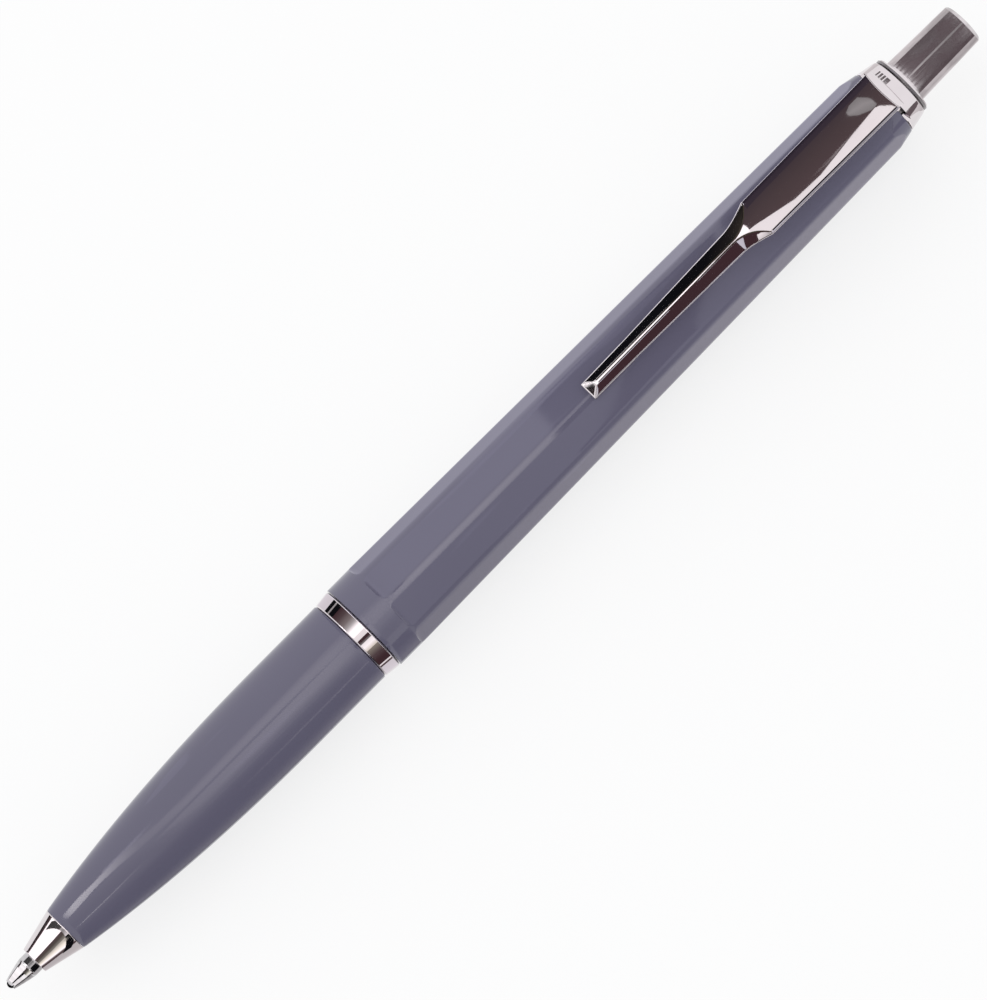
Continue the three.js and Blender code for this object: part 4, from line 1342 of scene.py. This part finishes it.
def flat_row(along, across, away, angle, slope, radius=20.0):
    """A nearly flat place of the clip, which faces an angle round the pen."""
    turn = math.radians(angle) - CLIP_ANGLE
    return (along, across - radius * math.sin(turn), away - radius * math.cos(turn), radius, slope)


# How the pieces' surfaces run under the cards, in millimetres and degrees.
POINT_FORM = turned_form((0.2, 0.65, -15), (1.4, 0.95, -14), (2.4, 1.17, -11.5))
NECK_FORM = turned_form((2.5, 1.18, 0), (3.7, 1.18, 0))
NOSE_FORM = turned_form((3.67, 1.55, -13.6), (8.0, 2.6, -13.6))
BARREL_FORM = turned_form((8.04, 2.6, -9.8), (15.1, 3.62, -6.8), (22.6, 4.35, -4.2),
                          (30.8, 4.78, -2.0), (39.4, 4.93, 0))
RING_FORM = turned_form((48.5, 4.95, -6.5), (50.1, 5.13, -6.5))
COLLAR_FORM = turned_form((50.4, 5.2, 0), (53.3, 5.2, 0))
FLATS_FORM = turned_form((53.3, 5.0, 0.64), (122, 4.4, 0.64))
CROWN_FORM = turned_form((124.6, 3.95, 11), (126.3, 3.62, 11))
BUTTON_FORM = turned_form((127.3, 2.57, 1.26), (136, 2.38, 1.26))
PLATE_FORM = ((96, 0, -12.3, 18.9, -3.1), (103.45, 0, -11.9, 18.9, -3.1),
              (109.45, 0, -11.7, 18.9, 0), (125, 0, -11.7, 18.9, 0))
ARM_SLOPE = -3.1


class PEN_OT_stage(bpy.types.Operator):
    """Set the table, the lights, the cards that paint reflections and the camera"""

    bl_idname = "pen.stage"
    bl_label = "Table, Lights and Camera"

    def execute(self, context):
        scene = context.scene
        settings = scene.pen_stage
        self.table(scene)
        self.world(scene)
        self.lamp()
        eye = self.camera(scene, settings)
        cards = Cards(eye, settings.view_lean)
        self.nose_cards(cards)
        self.barrel_cards(cards)
        self.ring_cards(cards)
        self.rear_cards(cards)
        self.arm_cards(cards)
        self.plate_cards(cards)
        scene.view_settings.view_transform = "Standard"
        return {"FINISHED"}

    def table(self, scene):
        half = 4.0
        mesh = bpy.data.meshes.new("table_top")
        mesh.from_pydata(
            [(-half, -half, 0), (half, -half, 0), (half, half, 0), (-half, half, 0)],
            [], [(0, 1, 2, 3)],
        )
        mesh.materials.append(table_material(scene.pen_colours.table))
        table = new_object("table_top", mesh)
        table.location.z = min(0.0, CAD_BOX[0].z)

    def world(self, scene):
        world = bpy.data.worlds.new("pale_room")
        scene.world = world
        world.use_nodes = True
        tree = world.node_tree
        room = tree.nodes["Background"]
        room.inputs["Color"].default_value = (0.98, 0.985, 1.0, 1)
        room.inputs["Strength"].default_value = 0.9
        pale = tree.nodes.new("ShaderNodeBackground")
        pale.inputs["Color"].default_value = (1.0, 0.985, 1.0, 1)
        pale.inputs["Strength"].default_value = 1.0
        mix_shaders(tree, seen_directly(tree), room, pale, "World Output")

    def lamp(self):
        key = bpy.data.lights.new("key", "AREA")
        key.shape = "RECTANGLE"
        key.size, key.size_y = 1.8, 1.6
        key.energy = 4.0
        lamp = new_object("key", key)
        lamp.location = (-0.3, 0.9, 0.9)
        lamp.rotation_euler = (-lamp.location).to_track_quat("-Z", "Y").to_euler()
        lamp.visible_glossy = False

    def nose_cards(self, cards):
        """Cards that paint highlights and dark reflections over the refill point and the nose cone."""
        corners = [(-1.5 * MM + FRONT, y * MM, z * MM)
                   for y, z in ((-4, 0.3), (4, 0.3), (4, 6.5), (-4, 6.5))]
        cards.put_up("tip_flag", corners, [(0, 1, 2, 3)], [(*BLACK, 1.0)] * 4)
        cards.bands(POINT_FORM, (-0.3, 2.5), NEAR, (
            ("point_edge", (0.12, 0.15), (BLACK, BLACK)),
            ("point_left", (0.15, 0.5), (1.6, 1.6)),
            ("point_dark", ((0.5, 0.56), (0.5, 0.64)), (BLACK, BLACK)),
            ("point_right", ((0.56, 0.8), (0.64, 0.8)), (1.4, 1.4)),
            ("point_line", ((0.8, 0.86), (0.8, 0.85)), (BLACK, 0.05)),
            ("point_rim", ((0.86, 0.98), (0.85, 0.98)), (0.4, 0.7)),
        ))
        cards.bands(NECK_FORM, (2.45, 3.62), 11.5, (
            ("neck_left", (0.2, 0.42), (0.06, 0.08)),
            ("neck_middle", (0.42, 0.6), (0.5, 0.3, 0.55, 0.9)),
            ("neck_right", (0.6, 0.85), (BLACK, BLACK)),
        ))
        over_nose = (3.3, 8.3)
        cards.bands(NOSE_FORM, over_nose, NEAR, (
            ("nose_edge", ((0.14, 0.21), (0.085, 0.155)), (BLACK, BROWN)),
            ("nose_left", ((0.21, 0.5), (0.155, 0.46)), (1.6, 1.6)),
            ("nose_middle", ((0.5, 0.67), (0.46, 0.6)),
             (BROWN, (0.1, 0.085, 0.075), tone(0.3, CREAM_TINT))),
            ("nose_right", ((0.67, 0.77), (0.6, 0.77)),
             (tone(0.6, CREAM_TINT), tone(1.2, CREAM_TINT), 1.5)),
        ))
        cards.bands(NOSE_FORM, over_nose, NEAR - GAP, (
            ("nose_line", ((0.77, 0.86), (0.77, 0.82)), (1, BROWN, BROWN, BROWN)),
            ("nose_rim", ((0.86, 0.985), (0.82, 0.985)), (0.6, 0.62, 0.75)),
        ))

    def barrel_cards(self, cards):
        """Cards that paint highlights and dark reflections over the lower barrel."""
        form = BARREL_FORM
        cards.band("front_streak", form, (8.9, 9.4, 11, 13, 16, 19, 22, 24.5),
                   ((0.31, 0.36, 4), (0.29, 0.4, 7), (0.29, 0.395, 6.8), (0.313, 0.385, 6.4),
                    (0.322, 0.41, 3.6), (0.35, 0.45, 1.8), (0.4, 0.475, 1.8), (0.4, 0.485, 2)),
                   (1, 1, 0.95, 0.9))
        cards.band("front_line", form, (9.5, 13, 18),
                   ((0.622, 0.636), (0.616, 0.629, 0.8), (0.6, 0.61, 0.3)), (4, 4),
                   CARD_REACH - 1)
        cards.band("front_middle", form, (8.0, 18, 26),
                   ((0.42, 0.66), (0.48, 0.66), (0.6, 0.66)), (0.9, 0.6, 0.55))
        cards.band("left_band", form, (24.5, 39.5, 48.3),
                   ((0.4, 0.485, 0.9), (0.4, 0.488), (0.38, 0.51, 1.05)), (1.4, 2.2, 2.2))
        cards.band("right_band", form, (17.5, 24, 39.5, 48.3),
                   ((0.53, 0.6, 0.7), (0.51, 0.65, 0.85), (0.51, 0.65, 1.1), (0.51, 0.67, 1.2)),
                   (2.1, 1.9, 0.6))
        cards.band("right_flag", form, (8.0, 39.5, 48.3),
                   ((0.66, 0.772), (0.66, 0.772), (0.67, 0.772, 1.6)), (0.45, 0.1, MAROON),
                   CARD_REACH + 0.5)
        low = (0.01, 0.01, 0.04, 0.33, 0.48, 0.3)
        cards.band("low_flag", form, (8.0, 39.5, 48.3),
                   ((0.772, 0.985), (0.772, 0.985), (0.772, 0.985, 1.4)), low, LOW_REACH)
        cards.band("horizon_line", form, (30, 38, 48.3),
                   ((0.77, 0.785, 0.3), (0.768, 0.79, 1.2), (0.768, 0.79, 1.2)), (1, 1), 55.0)
        cards.band("collar_low", COLLAR_FORM, (50.4, 53.3), (0.8, 0.985), low[1:], LOW_REACH)

    def ring_cards(self, cards):
        """Small cards close over the centre ring, from left to right."""
        rose, grey, sand = (1, 0.85, 0.85), (1.0, 0.96, 1.02), (1, 0.9, 0.78)
        rows = (
            ((0.01, 0.1), (tone(0.85, grey), tone(0.8, grey))),
            ((0.1, 0.135), (BLACK, BLACK)),
            ((0.135, 0.15), (0.4, 0.4)),
            ((0.15, 0.2), (BLACK, BLACK)),
            ((0.2, 0.34), (MAROON, BROWN, tone(0.24, rose))),
            ((0.34, 0.5), (tone(0.24, rose), 0.5, 1.7, 1.7)),
            ((0.5, 0.555), (1.1, 1.0)),
            ((0.555, 0.605), (MAROON, MAROON, 0.3)),
            ((0.605, 0.69), (1.1, 1.3, tone(0.8, (1, 0.92, 0.8)))),
            ((0.69, 0.875), (tone(0.3, sand), BROWN, MAROON, MAROON)),
            ((0.875, 0.888), (1.0, 1.0)),
            ((0.888, 0.905), (BROWN, BROWN)),
            ((0.905, 0.985), (tone(0.8, grey), tone(0.85, grey))),
        )
        named = [(f"ring_{i}", *row) for i, row in enumerate(rows)]
        cards.bands(RING_FORM, (48.45, 50.15), 2.0, named)

    def rear_cards(self, cards):
        """Cards that paint highlights and dark reflections over the collar, the upper barrel, the crown
        and the button.
        """
        over_collar = (50.4, 53.3)
        cards.band("collar_light", COLLAR_FORM, over_collar, ((0.38, 0.56), (0.41, 0.55)),
                   (1.2, 2.8, 2.8, 2))
        cards.band("collar_dark", COLLAR_FORM, over_collar, (0.6, 0.73), (0.7, 0.2, 0.4))
        flats = FLATS_FORM
        start, end = 53.3, 124
        cool = tone(1, COOL_TINT)
        cards.hang("top_light", flats, ((start, -9, 9), (end, -9, 9)),
                   (tone(1.3, COOL_TINT), tone(1.3, COOL_TINT)))
        cards.hang("corner_light", flats, ((start, 11, 36), (82, 11, 36, 0.9)),
                   (1.3, 2.9, 3.0, 2.3))
        fading = ((start, 0.6), (80, 0.75), (100, 0.6), (112, 0.3), (end, 0.45))
        cards.hang("facet_flag", flats, [(along, 38, 56, strength) for along, strength in fading],
                   (cool, cool), CARD_REACH + 1)
        cards.hang("corner_dark", flats, ((start, 57, 74), (end, 57, 74)), (0.1, 0.4), LOW_REACH)
        cards.hang("right_light", flats, ((start, 80, 100, 0.75), (80, 80, 100), (end, 80, 100, 1.3)),
                   (1, 1), LOW_REACH)
        cards.hang("left_light", flats, ((start, -57, -33, 0.9), (end, -57, -33, 1.2)), (cool, cool))
        dim = (0.15, 0.12, 0.13)
        over_button = (127.35, 136.3)
        cards.bands(BUTTON_FORM, over_button, CARD_REACH, (
            ("button_dark", (0.12, 0.862), (dim, dim)),
            ("button_left", (0.01, 0.12), (0.8, 0.7)),
        ))
        cards.band("button_right", BUTTON_FORM, over_button, (0.862, 0.985), (0.75, 0.6, 0.75),
                   LOW_REACH)
        cards.band("button_streak", BUTTON_FORM, (127.7, 131.5, 135.9),
                   ((0.455, 0.6), (0.425, 0.575, 0.85), (0.37, 0.56, 0.5)),
                   (dim, 0.5, 0.52, 0.4, dim), CARD_REACH - 2)
        # Painted reflections: four dim cards that the crown mirrors as dark stripes across it.
        marks_and_reflections = ((0.15, 0.172), (0.192, 0.222), (0.24, 0.27), (0.285, 0.35))
        named = [(f"crown_dark_reflection_{i}", dark_reflection, (0.1, BROWN)) for i, dark_reflection in enumerate(marks_and_reflections)]
        cards.bands(CROWN_FORM, (125.4, 126.9), CARD_REACH, named)

    def arm_cards(self, cards):
        """Cards that paint highlights and dark reflections over the clip's arm, its shoulders, its
        ridge and its foot.
        """
        arm = ((82.5, 0.57, 5.66, 35.8), (88, 0.61, 5.9, 33.4), (103.1, 0.79, 6.71, 25.7))
        shoulder = ((103.3, 0.8, 6.75, -8), (104.5, 1.0, 6.9, -13),
                    (105.5, 1.45, 6.95, -15), (106.4, 1.9, 7.0, -15))
        tilt = math.degrees(CLIP_ANGLE)
        left = [flat_row(u, -w, h, tilt - turn, ARM_SLOPE) for u, w, h, turn in arm]
        right = [flat_row(u, w, h, tilt + turn, ARM_SLOPE) for u, w, h, turn in arm]
        cards.hang("arm_left", left, ((81, -21.9, -16.9), (88, -18.9, -13.9),
                                      (104.5, -11.4, -5.5)), (BLACK, BLACK), NEAR)
        cards.hang("arm_right", right, ((81, 51, 55.6), (88, 48.1, 52.7),
                                        (104.5, 40.0, 44.6)), (MAROON, MAROON), NEAR)
        left = [flat_row(u, -w, h, angle, slope)
                for (u, w, h, slope), angle in zip(shoulder, (-7, -4, -1, -1))]
        cards.hang("shoulder_left", left, ((102.0, -15, 1), (107.6, -9, 6)), (BLACK, BLACK), NEAR)
        right = [flat_row(u, w, h, angle, slope)
                 for (u, w, h, slope), angle in zip(shoulder, (42, 38, 35, 35))]
        cards.hang("shoulder_right", right, ((102.0, 34, 50), (107.6, 29, 43)),
                   (MAROON, MAROON), NEAR)
        # Rows (along, half the width of the ridge, height).
        ridge = ((81.0, 0.18, 5.84), (106.0, 0.1, 7.17))
        top = [flat_row(u, 0, h, tilt, ARM_SLOPE, 5.0) for u, w, h in ridge]
        cards.hang("ridge_light", top, ((81.0, 14.2, 19.8), (106.0, 15.2, 18.8)),
                   (1.3, 1.6, 1.3), NEAR - 2 * GAP)
        rounding = 0.12
        for name, side, low, high, colours in (
            ("ridge_left", -1, -10, 12, (BLACK, OLIVE, OLIVE)),
            ("ridge_right", 1, 22, 40, (OLIVE, OLIVE, MAROON)),
        ):
            rim = [(u, side * w, h - rounding, rounding, ARM_SLOPE) for u, w, h in ridge]
            cards.hang(name, rim, [(row[0], low, high) for row in ridge], colours, NEAR - GAP)
        foot = [flat_row(u, 0, h, tilt, -32.6, 50.0) for u, h in ((82.4, 5.3), (83.6, 5.97))]
        cards.hang("foot_dark", foot, ((81.6, 16.5, 18.6), (83.4, 16.9, 18.0)),
                   (BLACK, BROWN), NEAR)

    def plate_cards(self, cards):
        """Cards that paint highlights and dark reflections over the clip's arch and plate."""
        violet = (0.05, 0.038, 0.052)
        cards.hang("plate_dark", PLATE_FORM, [(u, 9, 27) for u in (100.5, 103.45, 109.45, 124.9)],
                   (violet, (0.085, 0.062, 0.066), BROWN, BROWN), NEAR + 2 * GAP)
        cards.hang("plate_edge", turned_form((100, 7.2, 0), (125, 7.2, 0)),
                   ((100, 27, 52), (124.9, 27, 52)), (BLACK, BLACK))

        def angle(across):
            """Where the plate faces, this far to the side of its middle."""
            return math.degrees(CLIP_ANGLE) + math.degrees(math.atan(0.28 * across / 2.3**2))

        outline = ((103.1, -0.1), (103.45, 0.0), (106.45, 0.55), (109.45, 1.2), (110.4, 1.4),
                   (114, 1.5), (118, 1.0), (122.6, 0.6), (123.1, 0.8), (124.3, 2.0))
        stations = [(along, angle(across), 25.5) for along, across in outline]
        cards.hang("plate_light", PLATE_FORM, stations, (1.05, 1.1), NEAR + 0.4)
        patch = ((120.2, -1.0, -0.6), (120.9, -1.3, 0.0), (122.1, -1.3, 0.5),
                 (122.8, -0.6, 0.55), (123.0, -0.2, 0.5))
        stations = [(along, angle(low), angle(high)) for along, low, high in patch]
        cards.hang("plate_patch", PLATE_FORM, stations, (0.26, 0.36, 0.28), NEAR + 0.7)
        edge = ((104.5, -1.5, 6.45, 0.55, 0), (106.45, -1.85, 6.5, 0.55, 0),
                (125, -2.0, 6.5, 0.55, 0))
        cards.hang("plate_left", edge, ((104.5, -34, 13), (124.9, -34, 13)),
                   (0.3, (0.02, 0.015, 0.025), (0.03, 0.022, 0.035), violet), NEAR)

    def camera(self, scene, settings):
        lean, roll = settings.view_lean, settings.view_roll
        above = Vector((0, -math.sin(lean), math.cos(lean)))
        beside = above.cross(Vector((1, 0, 0)))
        target = Vector((FRONT + settings.view_place, 0, AXIS_HEIGHT))
        target -= beside * settings.view_offset
        spot = above * settings.camera_distance
        spot += Vector((FRONT + settings.camera_place, 0, AXIS_HEIGHT))
        back = (spot - target).normalized()
        side = back.cross(Vector((1, 0, 0))).normalized()
        along = side.cross(back)
        right = along * math.cos(roll) - side * math.sin(roll)
        up = along * math.sin(roll) + side * math.cos(roll)
        data = bpy.data.cameras.new("camera")
        data.sensor_width = 36
        data.lens = data.sensor_width * (spot - target).length / settings.frame_height
        data.clip_end = 20
        camera = new_object("camera", data)
        camera.matrix_world = Matrix((right, up, back)).transposed().to_4x4()
        camera.location = spot
        scene.camera = camera
        return spot


class PEN_PT_panel(bpy.types.Panel):
    """The pen's sizes, colours and pieces"""

    bl_label = "Ballpoint Pen"
    bl_idname = "PEN_PT_panel"
    bl_space_type = "VIEW_3D"
    bl_region_type = "UI"
    bl_category = "Pen"

    def draw(self, context):
        for group in ("pen_sizes", "pen_colours", "pen_stage"):
            values = getattr(context.scene, group)
            box = self.layout.box()
            for name in values.bl_rna.properties.keys():
                if name not in ("rna_type", "name"):
                    box.prop(values, name)
        for piece in PIECES:
            self.layout.operator(piece.bl_idname)


PIECES = (
    PEN_OT_lower_barrel,
    PEN_OT_upper_barrel,
    PEN_OT_centre_ring,
    PEN_OT_nose_cone,
    PEN_OT_refill_point,
    PEN_OT_crown,
    PEN_OT_push_button,
    PEN_OT_clip,
    PEN_OT_windings,
    PEN_OT_inner_pieces,
    PEN_OT_stage,
)
CLASSES = (PenSizes, PenColours, PenStage, *PIECES, PEN_PT_panel)


def register():
    for made in CLASSES:
        bpy.utils.register_class(made)
    bpy.types.Scene.pen_sizes = PointerProperty(type=PenSizes)
    bpy.types.Scene.pen_colours = PointerProperty(type=PenColours)
    bpy.types.Scene.pen_stage = PointerProperty(type=PenStage)


def unregister():
    del bpy.types.Scene.pen_stage
    del bpy.types.Scene.pen_colours
    del bpy.types.Scene.pen_sizes
    for made in reversed(CLASSES):
        bpy.utils.unregister_class(made)


def main():
    register()
    bpy.ops.pen.lower_barrel()
    bpy.ops.pen.upper_barrel()
    bpy.ops.pen.centre_ring()
    bpy.ops.pen.nose_cone()
    bpy.ops.pen.refill_point()
    bpy.ops.pen.crown()
    bpy.ops.pen.push_button()
    bpy.ops.pen.clip()
    bpy.ops.pen.windings()
    bpy.ops.pen.inner_pieces()
    bpy.ops.pen.stage()


if __name__ == "__main__":
    main()
